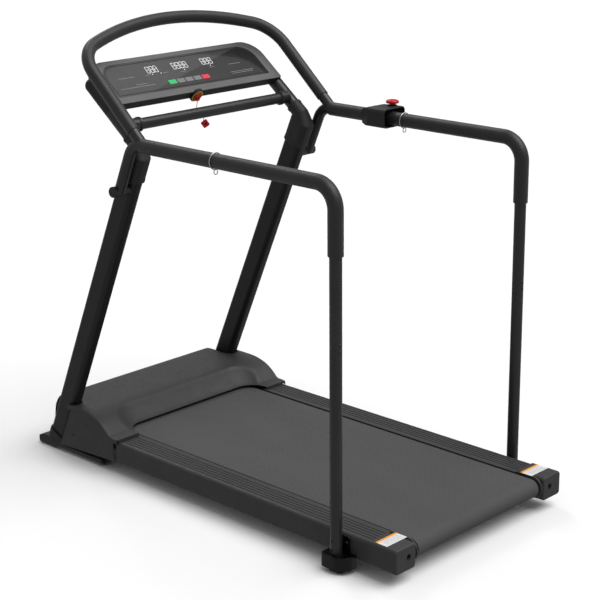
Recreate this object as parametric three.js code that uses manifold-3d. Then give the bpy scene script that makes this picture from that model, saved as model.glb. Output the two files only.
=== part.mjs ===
// Motorised walking treadmill with long side handrails, an arched front grip and a tilted console.
// Millimetres, +Z up. +Y is the walking direction, towards the console, and +X is the walker's right.
// The origin is on the floor, below the middle of the machine.
import * as THREE from 'three';
import { mergeVertices } from 'three/addons/utils/BufferGeometryUtils.js';
import Module from 'manifold-3d';

const wasm = await Module();
wasm.setup();

// ---- driving dimensions ----
const GAP = 0.3; // clearance kept between pieces that touch
const BELT_TOP = 97; // walking surface above the floor
const BELT_HALF_WIDTH = 255;
const BELT_THICK = 2.2;
const ROLLER_R = 23.4;
const BELT_BEND_R = 24.3; // inside of the belt where it turns
const REAR_ROLLER_Y = -690;
const FRONT_ROLLER_Y = 470;
const DECK_THICK = 18;
const RAIL_IN_X = 261; // inner edge of the ribbed foot rails
const RAIL_OUT_X = 347;
const RAIL_BOTTOM = 38;
const REAR_Y = -721; // rear face of the end caps
const CAP_FRONT_Y = -632;
const FRONT_Y = 721; // front end of the floor rails
const UPRIGHT_X = 323;
const UPRIGHT_FOOT_Y = 658; // where the upright's axis meets the floor plane
const UPRIGHT_LEAN = 0.442; // run towards the walker per unit of height
const UPRIGHT_W = 40;
const UPRIGHT_D = 68;
const UPRIGHT_BOTTOM = 20; // where the axis ends, inside the floor rail
const UPRIGHT_WALL = 2;
const RAIL_TUBE_R = 16; // handrails, arch and crossbar
const TUBE_WALL = 2;
const RAIL_FOAM_R = 20;
const ARCH_FOAM_R = 18;
const HANDRAIL_X = 371;
const HANDRAIL_Z = 1004;
const POST_Y = -540;
const POST_JOINT_Z = 574;
const POST_FOAM_END_Z = 829;
const HANDRAIL_BEND_R = 62;
const HANDRAIL_CORNER_Y = 196; // where the drop leg's line meets the handrail's line
const DROP_BEND_R = 50;
const STUB_Z = 866;
const ARCH_TILT = THREE.MathUtils.degToRad(42);
const ARCH_BASE_Y = 192; // foam end of the arch's legs
const ARCH_BASE_Z = 1038;
const ARCH_LEG = 205; // straight part of each leg, above its foam end
const ARCH_RISE = 365; // foam end to the top of the bow, along the slope
const ARCH_CROWN_R = 830;
const CONSOLE_TILT = THREE.MathUtils.degToRad(38);
const CONSOLE_Y = 320; // bottom edge of the console's face
const CONSOLE_Z = 1088;
const CONSOLE_HALF_W = 327;
const CONSOLE_H = 160;
const CONSOLE_DEPTH = 30;
const ARM_X = 320;
const ARM_R = 20;
const ARM_DEPTH = 27; // the arms' axes, below the plane of the console's face
const CROSSBAR_Y = 281;
const CROSSBAR_Z = 1034;
const HOOD_HALF_W = 352;
const PANEL_X = 347; // inner face of the cover's side panels
const PANEL_THICK = 3.5;
const BOLT_X = 300; // belt-tension bolts, through the end caps
const STOP_X = 394; // red stop button, beside the right handrail's centre line
const STOP_Y = -60;
const SAFETY_X = -15; // safety key on the console's lower edge

const AXLE_Z = BELT_TOP - BELT_THICK - BELT_BEND_R;
const DECK_TOP = BELT_TOP - BELT_THICK - GAP;
const DECK_BOTTOM = DECK_TOP - DECK_THICK;

// ---- materials ----
const finish = (color, roughness, metalness = 0) => ({ color, roughness, metalness });
const BLACK_STEEL = finish(0x242425, 0.5, 0.1);
const BLACK_PLASTIC = finish(0x2f2f30, 0.55);
const HOOD_PLASTIC = finish(0x444445, 0.6);
const RIB_PLASTIC = finish(0x3a3a3b, 0.6);
const FOAM = finish(0x363637, 0.9);
const RUBBER = finish(0x1c1c1d, 0.85);
const BELT = finish(0x4f4f50, 0.9);
const STEEL = finish(0xb4b6b8, 0.35, 0.9);
const ALUMINIUM = finish(0xa9abad, 0.4, 0.8);
const BOARD = finish(0x1e5a35, 0.6);
const WOOD = finish(0x8a6a48, 0.8);
const GLOSS_BLACK = finish(0x3c3c3e, 0.15);
const RED = finish(0xc81f1f, 0.4);
const GREEN = finish(0x3cc86e, 0.4);
const GREY_KEY = finish(0x7a7a7c, 0.5);

const treadmill = new THREE.Group();

function addMesh(name, geometry, look, parent = treadmill) {
  const mesh = new THREE.Mesh(geometry, new THREE.MeshStandardMaterial(look));
  mesh.name = name;
  parent.add(mesh);
  return mesh;
}

// ---- solids and booleans ----
function toManifold(geometry) {
  const bare = geometry.clone();
  bare.deleteAttribute('normal');
  bare.deleteAttribute('uv');
  const merged = mergeVertices(bare, 1e-4);
  const vertProperties = new Float32Array(merged.attributes.position.array);
  const triVerts = new Uint32Array(merged.index.array);
  return new wasm.Manifold(new wasm.Mesh({ numProp: 3, vertProperties, triVerts }));
}

function toGeometry(solid) {
  const mesh = solid.getMesh();
  const geometry = new THREE.BufferGeometry();
  geometry.setAttribute('position', new THREE.BufferAttribute(new Float32Array(mesh.vertProperties), 3));
  geometry.setIndex(new THREE.BufferAttribute(new Uint32Array(mesh.triVerts), 1));
  return geometry;
}

const join = (first, ...others) =>
  toGeometry(others.reduce((solid, other) => solid.add(toManifold(other)), toManifold(first)));
const cut = (first, ...others) =>
  toGeometry(others.reduce((solid, other) => solid.subtract(toManifold(other)), toManifold(first)));
// the space that several shapes share
const shared = (first, ...others) =>
  toGeometry(others.reduce((solid, other) => solid.intersect(toManifold(other)), toManifold(first)));
// the tightest skin round several shapes
const wrap = (...shapes) => toGeometry(wasm.Manifold.hull(shapes.map(toManifold)));

// ---- basic shapes ----
const X_AXIS = new THREE.Vector3(1, 0, 0);
const Y_AXIS = new THREE.Vector3(0, 1, 0);
const Z_AXIS = new THREE.Vector3(0, 0, 1);

function box(x0, x1, y0, y1, z0, z1) {
  const geometry = new THREE.BoxGeometry(x1 - x0, y1 - y0, z1 - z0);
  return geometry.translate((x0 + x1) / 2, (y0 + y1) / 2, (z0 + z1) / 2);
}

function outline(points, holes = []) {
  const shape = new THREE.Shape(points.map(([a, b]) => new THREE.Vector2(a, b)));
  shape.holes = holes.map((hole) => new THREE.Path(hole.map(([a, b]) => new THREE.Vector2(a, b))));
  return shape;
}

const extrude = (shape, depth, curveSegments = 6) =>
  new THREE.ExtrudeGeometry(shape, { depth, bevelEnabled: false, curveSegments });

// A (y, z) outline run along X.
function extrudeX(shape, x0, x1) {
  const turn = new THREE.Matrix4().makeBasis(Y_AXIS, Z_AXIS, X_AXIS);
  return extrude(shape, x1 - x0).applyMatrix4(turn).translate(x0, 0, 0);
}

// An (x, z) outline run along Y.
function extrudeY(shape, y0, y1) {
  const turn = new THREE.Matrix4().makeBasis(X_AXIS, Z_AXIS, Y_AXIS.clone().negate());
  return extrude(shape, y1 - y0).applyMatrix4(turn).translate(0, y1, 0);
}

// An (x, y) outline run along Z.
const extrudeZ = (shape, z0, z1) => extrude(shape, z1 - z0).translate(0, 0, z0);

function cylinderX(r, x0, x1, y, z, sides = 20) {
  const geometry = new THREE.CylinderGeometry(r, r, x1 - x0, sides).rotateZ(Math.PI / 2);
  return geometry.translate((x0 + x1) / 2, y, z);
}

function cylinderY(r, y0, y1, x, z, sides = 16) {
  return new THREE.CylinderGeometry(r, r, y1 - y0, sides).translate(x, (y0 + y1) / 2, z);
}

function cylinderZ(r, z0, z1, x, y, sides = 16) {
  const geometry = new THREE.CylinderGeometry(r, r, z1 - z0, sides).rotateX(Math.PI / 2);
  return geometry.translate(x, y, (z0 + z1) / 2);
}

function ringPoints(r, sides) {
  return Array.from({ length: sides }, (_, i) => {
    const a = (i / sides) * 2 * Math.PI;
    return [r * Math.cos(a), r * Math.sin(a)];
  });
}

const boxPoints = (a0, a1, b0, b1) => [[a0, b0], [a1, b0], [a1, b1], [a0, b1]];

// A rectangle with rounded corners, centred on (cx, cy).
function roundedRect(w, h, r, steps = 4, cx = 0, cy = 0) {
  const points = [];
  const corners = [[1, 1], [-1, 1], [-1, -1], [1, -1]];
  corners.forEach(([sx, sy], quarter) => {
    for (let i = 0; i <= steps; i += 1) {
      const a = ((quarter + i / steps) * Math.PI) / 2;
      points.push([cx + sx * (w / 2 - r) + r * Math.cos(a), cy + sy * (h / 2 - r) + r * Math.sin(a)]);
    }
  });
  return points;
}

// ---- tubes swept along paths that lie in one plane ----
class StationPath extends THREE.Curve {
  constructor(stations, planeNormal) {
    super();
    this.stations = stations;
    this.planeNormal = planeNormal.clone().normalize();
  }

  getSpacedPoints() {
    return this.stations;
  }

  computeFrenetFrames() {
    const last = this.stations.length - 1;
    const tangents = this.stations.map((_, i) => {
      const ahead = this.stations[Math.min(i + 1, last)];
      const behind = this.stations[Math.max(i - 1, 0)];
      return new THREE.Vector3().subVectors(ahead, behind).normalize();
    });
    const normals = tangents.map((t) => new THREE.Vector3().crossVectors(this.planeNormal, t).normalize());
    const binormals = tangents.map((t, i) => new THREE.Vector3().crossVectors(t, normals[i]));
    return { tangents, normals, binormals };
  }
}

// Straight runs between corners, with each inner corner rounded to its radius.
function bentPath(corners, radii, stepsPerBend) {
  const stations = [corners[0].clone()];
  for (let i = 1; i < corners.length - 1; i += 1) {
    const before = new THREE.Vector3().subVectors(corners[i - 1], corners[i]).normalize();
    const after = new THREE.Vector3().subVectors(corners[i + 1], corners[i]).normalize();
    const half = before.angleTo(after) / 2;
    const r = radii[i - 1];
    const toCentre = new THREE.Vector3().addVectors(before, after).normalize();
    const centre = corners[i].clone().addScaledVector(toCentre, r / Math.sin(half));
    const start = corners[i].clone().addScaledVector(before, r / Math.tan(half));
    const axis = new THREE.Vector3().crossVectors(before, after).normalize().negate();
    const arm = new THREE.Vector3().subVectors(start, centre);
    for (let k = 0; k <= stepsPerBend; k += 1) {
      const turn = ((Math.PI - 2 * half) * k) / stepsPerBend;
      stations.push(centre.clone().add(arm.clone().applyAxisAngle(axis, turn)));
    }
  }
  stations.push(corners[corners.length - 1].clone());
  return stations;
}

function sweep(stations, planeNormal, section) {
  const path = new StationPath(stations, planeNormal);
  return new THREE.ExtrudeGeometry(section, { steps: stations.length - 1, extrudePath: path });
}

const BORE_SIDES = 8;
const tubeSection = (outer, inner, sides = 12, boreSides = BORE_SIDES) =>
  outline(ringPoints(outer, sides), inner > 0 ? [ringPoints(inner, boreSides)] : []);
const foamSection = (outer) => tubeSection(outer, RAIL_TUBE_R + GAP, 12, 12);

const mirrorX = (geometry) => {
  const flipped = geometry.clone().applyMatrix4(new THREE.Matrix4().makeScale(-1, 1, 1));
  const index = flipped.index
    ? Array.from(flipped.index.array)
    : Array.from({ length: flipped.attributes.position.count }, (_, i) => i);
  for (let i = 0; i < index.length; i += 3) {
    [index[i + 1], index[i + 2]] = [index[i + 2], index[i + 1]];
  }
  flipped.setIndex(index);
  return flipped;
};

// The right-hand piece as drawn, and the left-hand piece as its mirror image.
function addPair(name, geometry, look) {
  addMesh(`${name}_right`, geometry, look);
  addMesh(`${name}_left`, mirrorX(geometry), look);
}

// ---- base: frame, deck, belt and rollers ----
const TRAY_TOP = 61; // the front cross-members carry the motor and the controller

function baseFrame() {
  const MEMBER_IN = 266;
  const MEMBER_OUT = 291;
  const MEMBER_BOTTOM = 41;
  const MEMBER_TOP = DECK_BOTTOM - GAP;
  const REAR = -655;
  const FRONT = 640;
  const WALL = 2;
  const memberSection = outline(
    boxPoints(MEMBER_IN, MEMBER_OUT, MEMBER_BOTTOM, MEMBER_TOP),
    [boxPoints(MEMBER_IN + WALL, MEMBER_OUT - WALL, MEMBER_BOTTOM + WALL, MEMBER_TOP - WALL)],
  );
  const member = extrudeY(memberSection, REAR, FRONT);
  const pieces = [mirrorX(member)];
  const CROSS_REACH = MEMBER_IN + 0.5;
  const CROSS_HALF = 15;
  const CROSS_H = 24;
  const crossMember = (y, z0, z1) => box(-CROSS_REACH, CROSS_REACH, y - CROSS_HALF, y + CROSS_HALF, z0, z1);
  for (const y of [-600, -210, 180]) pieces.push(crossMember(y, MEMBER_TOP - CROSS_H, MEMBER_TOP));
  for (const y of [535, 625]) pieces.push(crossMember(y, MEMBER_BOTTOM, TRAY_TOP));
  // flanges at the front carry the floor rails, and small ones at the back carry the side posts' brackets
  const FLANGE_OUT = 297;
  for (const side of [-1, 1]) {
    const inner = side * (MEMBER_OUT - 1);
    const outer = side * FLANGE_OUT;
    const x0 = Math.min(inner, outer);
    const x1 = Math.max(inner, outer);
    pieces.push(box(x0, x1, 520, 636, MEMBER_BOTTOM, MEMBER_BOTTOM + 6));
    const reach = side * (RAIL_OUT_X - 3 - GAP);
    pieces.push(box(Math.min(inner, reach), Math.max(inner, reach), -575, -505, 45, 70));
  }
  const SLOT_HALF = AXLE_R + 2;
  const axleSlot = box(
    -MEMBER_OUT - 1,
    MEMBER_OUT + 1,
    FRONT_ROLLER_Y - SLOT_HALF,
    FRONT_ROLLER_Y + SLOT_HALF,
    AXLE_Z - SLOT_HALF,
    MEMBER_TOP + 1,
  );
  return cut(join(member, ...pieces), axleSlot);
}

function stadium(rearY, frontY, z, r, steps = 8) {
  const points = [];
  for (let i = 0; i <= steps; i += 1) {
    const a = -Math.PI / 2 + (Math.PI * i) / steps;
    points.push([frontY + r * Math.cos(a), z + r * Math.sin(a)]);
  }
  for (let i = 0; i <= steps; i += 1) {
    const a = Math.PI / 2 + (Math.PI * i) / steps;
    points.push([rearY + r * Math.cos(a), z + r * Math.sin(a)]);
  }
  return points;
}

function walkingBelt() {
  const inner = stadium(REAR_ROLLER_Y, FRONT_ROLLER_Y, AXLE_Z, BELT_BEND_R);
  const outer = stadium(REAR_ROLLER_Y, FRONT_ROLLER_Y, AXLE_Z, BELT_BEND_R + BELT_THICK);
  return extrudeX(outline(outer, [inner]), -BELT_HALF_WIDTH, BELT_HALF_WIDTH);
}

const AXLE_R = 7;
const ROLLER_HALF = 257;
const DRIVE_X = -305; // the drive belt runs outside the left frame member
const ROLLER_PULLEY_R = 30;
const MOTOR_PULLEY_R = 15;
const MOTOR_Y = 545;
const MOTOR_Z = 108;
const MOTOR_R = 38;

// One drum with its stub axles, turned on a lathe. The drive roller also carries its pulley on the left.
function roller(y, stub, pulley) {
  const drum = [[0, -ROLLER_HALF - stub]];
  drum.push([AXLE_R, -ROLLER_HALF - stub], [AXLE_R, -ROLLER_HALF]);
  drum.push([ROLLER_R, -ROLLER_HALF], [ROLLER_R, ROLLER_HALF], [AXLE_R, ROLLER_HALF]);
  drum.push([AXLE_R, ROLLER_HALF + stub], [0, ROLLER_HALF + stub]);
  const turned = new THREE.LatheGeometry(drum.map(([r, x]) => new THREE.Vector2(r, x)), 24);
  turned.rotateZ(-Math.PI / 2).translate(0, y, AXLE_Z);
  if (!pulley) return turned;
  const shaft = cylinderX(AXLE_R - 0.5, DRIVE_X - 11, -ROLLER_HALF - 1, y, AXLE_Z, 12);
  return join(turned, shaft, cylinderX(ROLLER_PULLEY_R, DRIVE_X - 9, DRIVE_X + 9, y, AXLE_Z));
}

function motorPulley() {
  const flywheel = cylinderX(32, -250, -238, MOTOR_Y, MOTOR_Z);
  const pulley = cylinderX(MOTOR_PULLEY_R, DRIVE_X - 9, DRIVE_X + 9, MOTOR_Y, MOTOR_Z);
  return join(cylinderX(6, DRIVE_X - 10, -200, MOTOR_Y, MOTOR_Z, 12), pulley, flywheel);
}

function motor() {
  const body = cylinderX(MOTOR_R, -225, -60, MOTOR_Y, MOTOR_Z, 20);
  const foot = box(-200, -85, MOTOR_Y - 34, MOTOR_Y + 34, TRAY_TOP + GAP, MOTOR_Z - 20);
  return cut(join(body, foot), cylinderX(6.5, -226, -198, MOTOR_Y, MOTOR_Z, 12));
}

// A flat belt round both pulleys: the outline of two circles of different size and the lines between them.
function pulleyLoop(extra) {
  const bigR = ROLLER_PULLEY_R + extra;
  const smallR = MOTOR_PULLEY_R + extra;
  const dy = MOTOR_Y - FRONT_ROLLER_Y;
  const dz = MOTOR_Z - AXLE_Z;
  const reach = Math.hypot(dy, dz);
  const along = Math.atan2(dz, dy);
  const spread = Math.acos((bigR - smallR) / reach);
  const points = [];
  const STEPS = 8;
  for (let i = 0; i <= STEPS; i += 1) {
    const a = along - spread + (2 * spread * i) / STEPS;
    points.push([MOTOR_Y + smallR * Math.cos(a), MOTOR_Z + smallR * Math.sin(a)]);
  }
  for (let i = 0; i <= STEPS; i += 1) {
    const a = along + spread + ((2 * Math.PI - 2 * spread) * i) / STEPS;
    points.push([FRONT_ROLLER_Y + bigR * Math.cos(a), AXLE_Z + bigR * Math.sin(a)]);
  }
  return points;
}

function driveBelt() {
  const THICK = 2.5;
  const outer = pulleyLoop(GAP + 0.6 + THICK);
  const inner = pulleyLoop(GAP + 0.6);
  return extrudeX(outline(outer, [inner]), DRIVE_X - 7, DRIVE_X + 7);
}

// ---- foot rails and end caps ----
const RIB_COUNT = 6;
const RAIL_TOP = 99;

// Ribbed top, rounded outer shoulder and a smooth side wall, as one folded section in (x, z).
function railSection() {
  const SKIN = 3;
  const SHOULDER_R = 12;
  const outer = [[RAIL_IN_X, RAIL_TOP - 1.5]];
  const ribStart = RAIL_IN_X + 4;
  const ribEnd = RAIL_OUT_X - SHOULDER_R - 2;
  const pitch = (ribEnd - ribStart) / RIB_COUNT;
  const GROOVE = 1.5;
  for (let i = 0; i < RIB_COUNT; i += 1) {
    const x = ribStart + i * pitch;
    outer.push([x, RAIL_TOP - GROOVE], [x + 1.2, RAIL_TOP], [x + pitch - 2.6, RAIL_TOP]);
    outer.push([x + pitch - 1.4, RAIL_TOP - GROOVE]);
  }
  for (let i = 0; i <= 4; i += 1) {
    const a = (Math.PI / 2) * (1 - i / 4);
    const cx = RAIL_OUT_X - SHOULDER_R;
    const cz = RAIL_TOP - 1 - SHOULDER_R;
    outer.push([cx + SHOULDER_R * Math.cos(a), cz + SHOULDER_R * Math.sin(a)]);
  }
  outer.push([RAIL_OUT_X, RAIL_BOTTOM], [RAIL_OUT_X - SKIN, RAIL_BOTTOM]);
  outer.push([RAIL_OUT_X - SKIN, RAIL_TOP - 16], [RAIL_OUT_X - 14, DECK_TOP + GAP]);
  outer.push([RAIL_IN_X, DECK_TOP + GAP]);
  return outer.reverse();
}

const RAIL_FRONT_Y = 352;

function endCap() {
  const CAP_IN = 262;
  const CAP_OUT = 350;
  const CAP_TOP = 101.5;
  const CAP_BOTTOM = 33;
  const WALL = 3;
  const w = CAP_OUT - CAP_IN;
  const h = CAP_TOP - CAP_BOTTOM;
  const cx = (CAP_IN + CAP_OUT) / 2;
  const cz = (CAP_TOP + CAP_BOTTOM) / 2;
  const body = extrudeY(outline(roundedRect(w, h, 10, 3, cx, cz)), REAR_Y, CAP_FRONT_Y);
  const hollow = extrudeY(
    outline(roundedRect(w - 2 * WALL, h - 2 * WALL, 7, 3, cx, cz)),
    REAR_Y + 5,
    CAP_FRONT_Y + 1,
  );
  const boltHole = cylinderY(7, REAR_Y - 1, REAR_Y + 6, BOLT_X, AXLE_Z, 16);
  // the rear roller's axle slides fore and aft in this slot as the belt is tensioned
  const SLOT = 14;
  const innerOpening = box(
    CAP_IN - 1,
    CAP_IN + WALL + 1,
    REAR_ROLLER_Y - SLOT,
    CAP_FRONT_Y + 1,
    AXLE_Z - SLOT,
    AXLE_Z + SLOT,
  );
  return cut(body, hollow, boltHole, innerOpening);
}

function tensionBolt() {
  const head = cylinderY(6, REAR_Y + 8, REAR_Y + 15, BOLT_X, AXLE_Z, 6);
  return join(head, cylinderY(3.5, REAR_Y + 14, -660, BOLT_X, AXLE_Z, 12));
}

// ---- motor cover ----
const INLET_X = 200;
const ROCKER_X = 245;
const HOOD_PROFILE = [
  [342, 108.5], [376, 110], [388, 119], [402, 131], [415, 140], [428, 147],
  [445, 153], [460, 157], [478, 160], [500, 161.5], [560, 162.5], [620, 163],
  [642, 162], [657, 158], [672, 149], [686, 132], [697, 105], [706, 28],
];
const HOOD_SKIN = 3;
const RECESS_HALF = 266;
const RECESS_CORNER = 60;
const RECESS_REAR_Y = 345;
const RECESS_Y = 410;
const LIP_Z = 108; // lower edge of the cover above the belt
const RECESS_RUN = 54;
const RECESS_RISE = 52;

function profileHeight(y) {
  const curve = HOOD_PROFILE;
  let i = 1;
  while (i < curve.length - 1 && curve[i][0] < y) i += 1;
  const [y0, z0] = curve[i - 1];
  const [y1, z1] = curve[i];
  return z0 + ((z1 - z0) * (y - y0)) / (y1 - y0);
}

// Plan view of the edge over the belt: straight across the belt, rounded back to the wings.
function recessEdge(x) {
  const side = Math.abs(x);
  const straight = RECESS_HALF - RECESS_CORNER;
  if (side >= RECESS_HALF) return RECESS_REAR_Y;
  if (side <= straight) return RECESS_Y;
  const reach = (side - straight) / RECESS_CORNER;
  return RECESS_REAR_Y + (RECESS_Y - RECESS_REAR_Y) * Math.sqrt(1 - reach * reach);
}

function distanceToEdge(x, y) {
  const STEPS = 24;
  let nearest = y - recessEdge(x);
  for (let i = 0; i <= STEPS; i += 1) {
    const a = ((Math.PI / 2) * i) / STEPS;
    const ex = RECESS_HALF - RECESS_CORNER + RECESS_CORNER * Math.sin(a);
    const ey = RECESS_REAR_Y + (RECESS_Y - RECESS_REAR_Y) * Math.cos(a);
    nearest = Math.min(nearest, Math.hypot(Math.abs(x) - ex, y - ey));
  }
  return Math.max(nearest, 0);
}

function hoodHeight(x, y) {
  const ramp = LIP_Z + RECESS_RISE * (distanceToEdge(x, y) / RECESS_RUN) ** 1.35;
  return Math.min(profileHeight(y), ramp);
}

// A closed skin between two grids of points, stitched round its four edges.
function skinBetween(outer, inner) {
  const rows = outer.length;
  const cols = outer[0].length;
  const points = [...outer.flat(), ...inner.flat()];
  const index = [];
  const at = (layer, r, c) => layer * rows * cols + r * cols + c;
  const quad = (a, b, c, d) => index.push(a, b, c, a, c, d);
  for (let r = 0; r < rows - 1; r += 1) {
    for (let c = 0; c < cols - 1; c += 1) {
      quad(at(0, r, c), at(0, r, c + 1), at(0, r + 1, c + 1), at(0, r + 1, c));
      quad(at(1, r, c), at(1, r + 1, c), at(1, r + 1, c + 1), at(1, r, c + 1));
    }
  }
  for (let c = 0; c < cols - 1; c += 1) {
    quad(at(1, 0, c), at(1, 0, c + 1), at(0, 0, c + 1), at(0, 0, c));
    quad(at(0, rows - 1, c), at(0, rows - 1, c + 1), at(1, rows - 1, c + 1), at(1, rows - 1, c));
  }
  for (let r = 0; r < rows - 1; r += 1) {
    quad(at(0, r, 0), at(0, r + 1, 0), at(1, r + 1, 0), at(1, r, 0));
    quad(at(1, r, cols - 1), at(1, r + 1, cols - 1), at(0, r + 1, cols - 1), at(0, r, cols - 1));
  }
  const geometry = new THREE.BufferGeometry();
  geometry.setAttribute('position', new THREE.Float32BufferAttribute(points.flat(), 3));
  geometry.setIndex(index);
  return geometry;
}

function hood() {
  const halves = [0, 110, 206, 232, 250, 261, RECESS_HALF, 276, 300, HOOD_HALF_W];
  const across = [...halves.slice(1).reverse().map((x) => -x), ...halves];
  const RIDGE_Y = 600;
  const REAR_ROWS = 9;
  const outer = [];
  const inner = [];
  for (let r = 0; r <= REAR_ROWS; r += 1) {
    const share = r / REAR_ROWS;
    outer.push(across.map((x) => {
      const y = recessEdge(x) + (RIDGE_Y - recessEdge(x)) * share;
      return [x, y, hoodHeight(x, y)];
    }));
    inner.push(outer[r].map(([x, y, z]) => [x, y, z - HOOD_SKIN]));
  }
  const front = HOOD_PROFILE.filter(([y]) => y > RIDGE_Y);
  front.forEach(([y, z], i) => {
    const [yb, zb] = i === 0 ? [RIDGE_Y, profileHeight(RIDGE_Y)] : front[i - 1];
    const [ya, za] = front[Math.min(i + 1, front.length - 1)];
    const length = Math.hypot(ya - yb, za - zb);
    const ny = (-(za - zb) / length) * HOOD_SKIN;
    const nz = ((ya - yb) / length) * HOOD_SKIN;
    outer.push(across.map((x) => [x, y, z]));
    inner.push(across.map((x) => [x, y - ny, z - nz]));
  });
  // a cheek closes each end of the narrow front part, inboard of the uprights
  const CHEEK_X = UPRIGHT_X - UPRIGHT_W / 2 - 12;
  const CHEEK_BOTTOM = 50;
  const CHEEK_REAR = 578;
  const CHEEK_FRONT = 700;
  const OVERLAP = 1.5; // the cheek's edge runs into the cover's skin
  const crest = HOOD_PROFILE.filter(([y]) => y > CHEEK_REAR && y < CHEEK_FRONT)
    .map(([y, z]) => [y - 1, z - OVERLAP]);
  const cheekOutline = [[CHEEK_REAR, CHEEK_BOTTOM], [CHEEK_FRONT, CHEEK_BOTTOM], ...crest.reverse()];
  cheekOutline.push([CHEEK_REAR, profileHeight(CHEEK_REAR) - OVERLAP]);
  const cheek = extrudeX(outline(cheekOutline), CHEEK_X, CHEEK_X + HOOD_SKIN);
  // each wing's rear edge turns down to the foot rail
  const ledgeY = RECESS_REAR_Y - 3;
  const ledge = box(RECESS_HALF, HOOD_HALF_W - 5, ledgeY, ledgeY + HOOD_SKIN, BELT_TOP + 2.4, LIP_Z);
  const skin = join(skinBetween(outer, inner), cheek, mirrorX(cheek), ledge, mirrorX(ledge));
  // the uprights pass through the cover's front corners
  const NARROW_HALF = UPRIGHT_X - UPRIGHT_W / 2 - 6;
  const cuts = [];
  for (const side of [-1, 1]) {
    cuts.push(uprightSolid(side, 8, -20, 400));
    const x0 = side > 0 ? NARROW_HALF : -HOOD_HALF_W - 1;
    const x1 = side > 0 ? HOOD_HALF_W + 1 : -NARROW_HALF;
    cuts.push(box(x0, x1, 570, 720, 0, 260));
  }
  cuts.push(box(INLET_X - 16, INLET_X + 16, 690, 720, 61, 85));
  cuts.push(box(ROCKER_X - 12, ROCKER_X + 12, 690, 720, 62, 84));
  return cut(skin, ...cuts);
}

// A bar along an upright's axis, its section grown by the clearance, between two heights.
function uprightSolid(side, grow, z0, z1) {
  const at = (z) => new THREE.Vector3(side * UPRIGHT_X, UPRIGHT_FOOT_Y - UPRIGHT_LEAN * z, z);
  // the section's first direction runs fore and aft, its second along X
  const section = outline(roundedRect(UPRIGHT_D + grow, UPRIGHT_W + grow, 15 + grow / 2, 4));
  return sweep([at(z0), at(z1)], X_AXIS, section);
}

function sidePanel() {
  const DROP = HOOD_SKIN + 2; // top edge below the cover's surface
  const rearY = 362;
  const top = HOOD_PROFILE.filter(([y]) => y > rearY && y < 545)
    .map(([y, z]) => [y, z - DROP]);
  const frontTopY = 548;
  const points = [[612, 24], [frontTopY, profileHeight(frontTopY) - DROP], ...top.reverse()];
  points.push([rearY, profileHeight(rearY) - DROP], [rearY, 37]);
  return extrudeX(outline(points), PANEL_X, PANEL_X + PANEL_THICK);
}

// ---- floor rails, wheels and pads ----
const FLOOR_RAIL_IN = 301;
const FLOOR_RAIL_OUT = 346;
const PAD_H = 2;
const WHEEL_Y = 432;
const WHEEL_R = 20;

function floorRail() {
  const side = outline([
    [WHEEL_Y + 26, PAD_H + 6], [WHEEL_Y + 26, 23], [600, 23], [612, 33], [700, 33], [FRONT_Y, 24],
    [FRONT_Y, PAD_H + 4], [FRONT_Y - 8, PAD_H], [640, PAD_H], [628, PAD_H + 6],
  ].reverse());
  const body = extrudeX(side, FLOOR_RAIL_IN, FLOOR_RAIL_OUT);
  const foot = box(FLOOR_RAIL_IN + 8, FLOOR_RAIL_OUT - 8, 675, 705, 0, PAD_H + 1);
  const socket = uprightSolid(1, 9, 25, 52);
  const forkIn = box(FLOOR_RAIL_IN + 4, FLOOR_RAIL_IN + 9, WHEEL_Y - 8, WHEEL_Y + 30, 10, 21);
  const forkOut = box(FLOOR_RAIL_OUT - 9, FLOOR_RAIL_OUT - 4, WHEEL_Y - 8, WHEEL_Y + 30, 10, 21);
  const pin = cylinderX(3, FLOOR_RAIL_IN + 6, FLOOR_RAIL_OUT - 6, WHEEL_Y, WHEEL_R + 1, 10);
  const solid = join(body, foot, socket, forkIn, forkOut, pin);
  return cut(solid, uprightSolid(1, 2 * GAP, UPRIGHT_BOTTOM - 1.3, 80));
}

function wheel() {
  const HALF_W = 10;
  const x = (FLOOR_RAIL_IN + FLOOR_RAIL_OUT) / 2;
  const rim = [[3.3, -HALF_W], [WHEEL_R - 2, -HALF_W], [WHEEL_R, -HALF_W + 2]];
  rim.push([WHEEL_R, HALF_W - 2], [WHEEL_R - 2, HALF_W], [3.3, HALF_W], [3.3, -HALF_W]);
  const tyre = new THREE.LatheGeometry(rim.map(([r, h]) => new THREE.Vector2(r, h)), 20);
  return tyre.rotateZ(-Math.PI / 2).translate(x, WHEEL_Y, WHEEL_R + 1);
}

// ---- uprights, elbows, arms and crossbar ----
function upright() {
  const at = (z) => new THREE.Vector3(UPRIGHT_X, UPRIGHT_FOOT_Y - UPRIGHT_LEAN * z, z);
  const outer = roundedRect(UPRIGHT_D, UPRIGHT_W, 15, 4);
  const inner = roundedRect(UPRIGHT_D - 2 * UPRIGHT_WALL, UPRIGHT_W - 2 * UPRIGHT_WALL, 13, 4);
  return sweep([at(UPRIGHT_BOTTOM), at(945)], X_AXIS, outline(outer, [inner]));
}

// A point on the arm's axis, measured along the console's slope from the console's bottom edge.
function armPoint(along, x = ARM_X) {
  const c = Math.cos(CONSOLE_TILT);
  const s = Math.sin(CONSOLE_TILT);
  return new THREE.Vector3(x, CONSOLE_Y + along * c + ARM_DEPTH * s, CONSOLE_Z + along * s - ARM_DEPTH * c);
}

const armBar = (r, from, to, sides = 16) =>
  sweep([armPoint(from), armPoint(to)], X_AXIS, tubeSection(r, 0, sides));

function arm() {
  return sweep([armPoint(-116), armPoint(-GAP)], X_AXIS, tubeSection(ARM_R, ARM_R - TUBE_WALL, 16));
}

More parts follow.
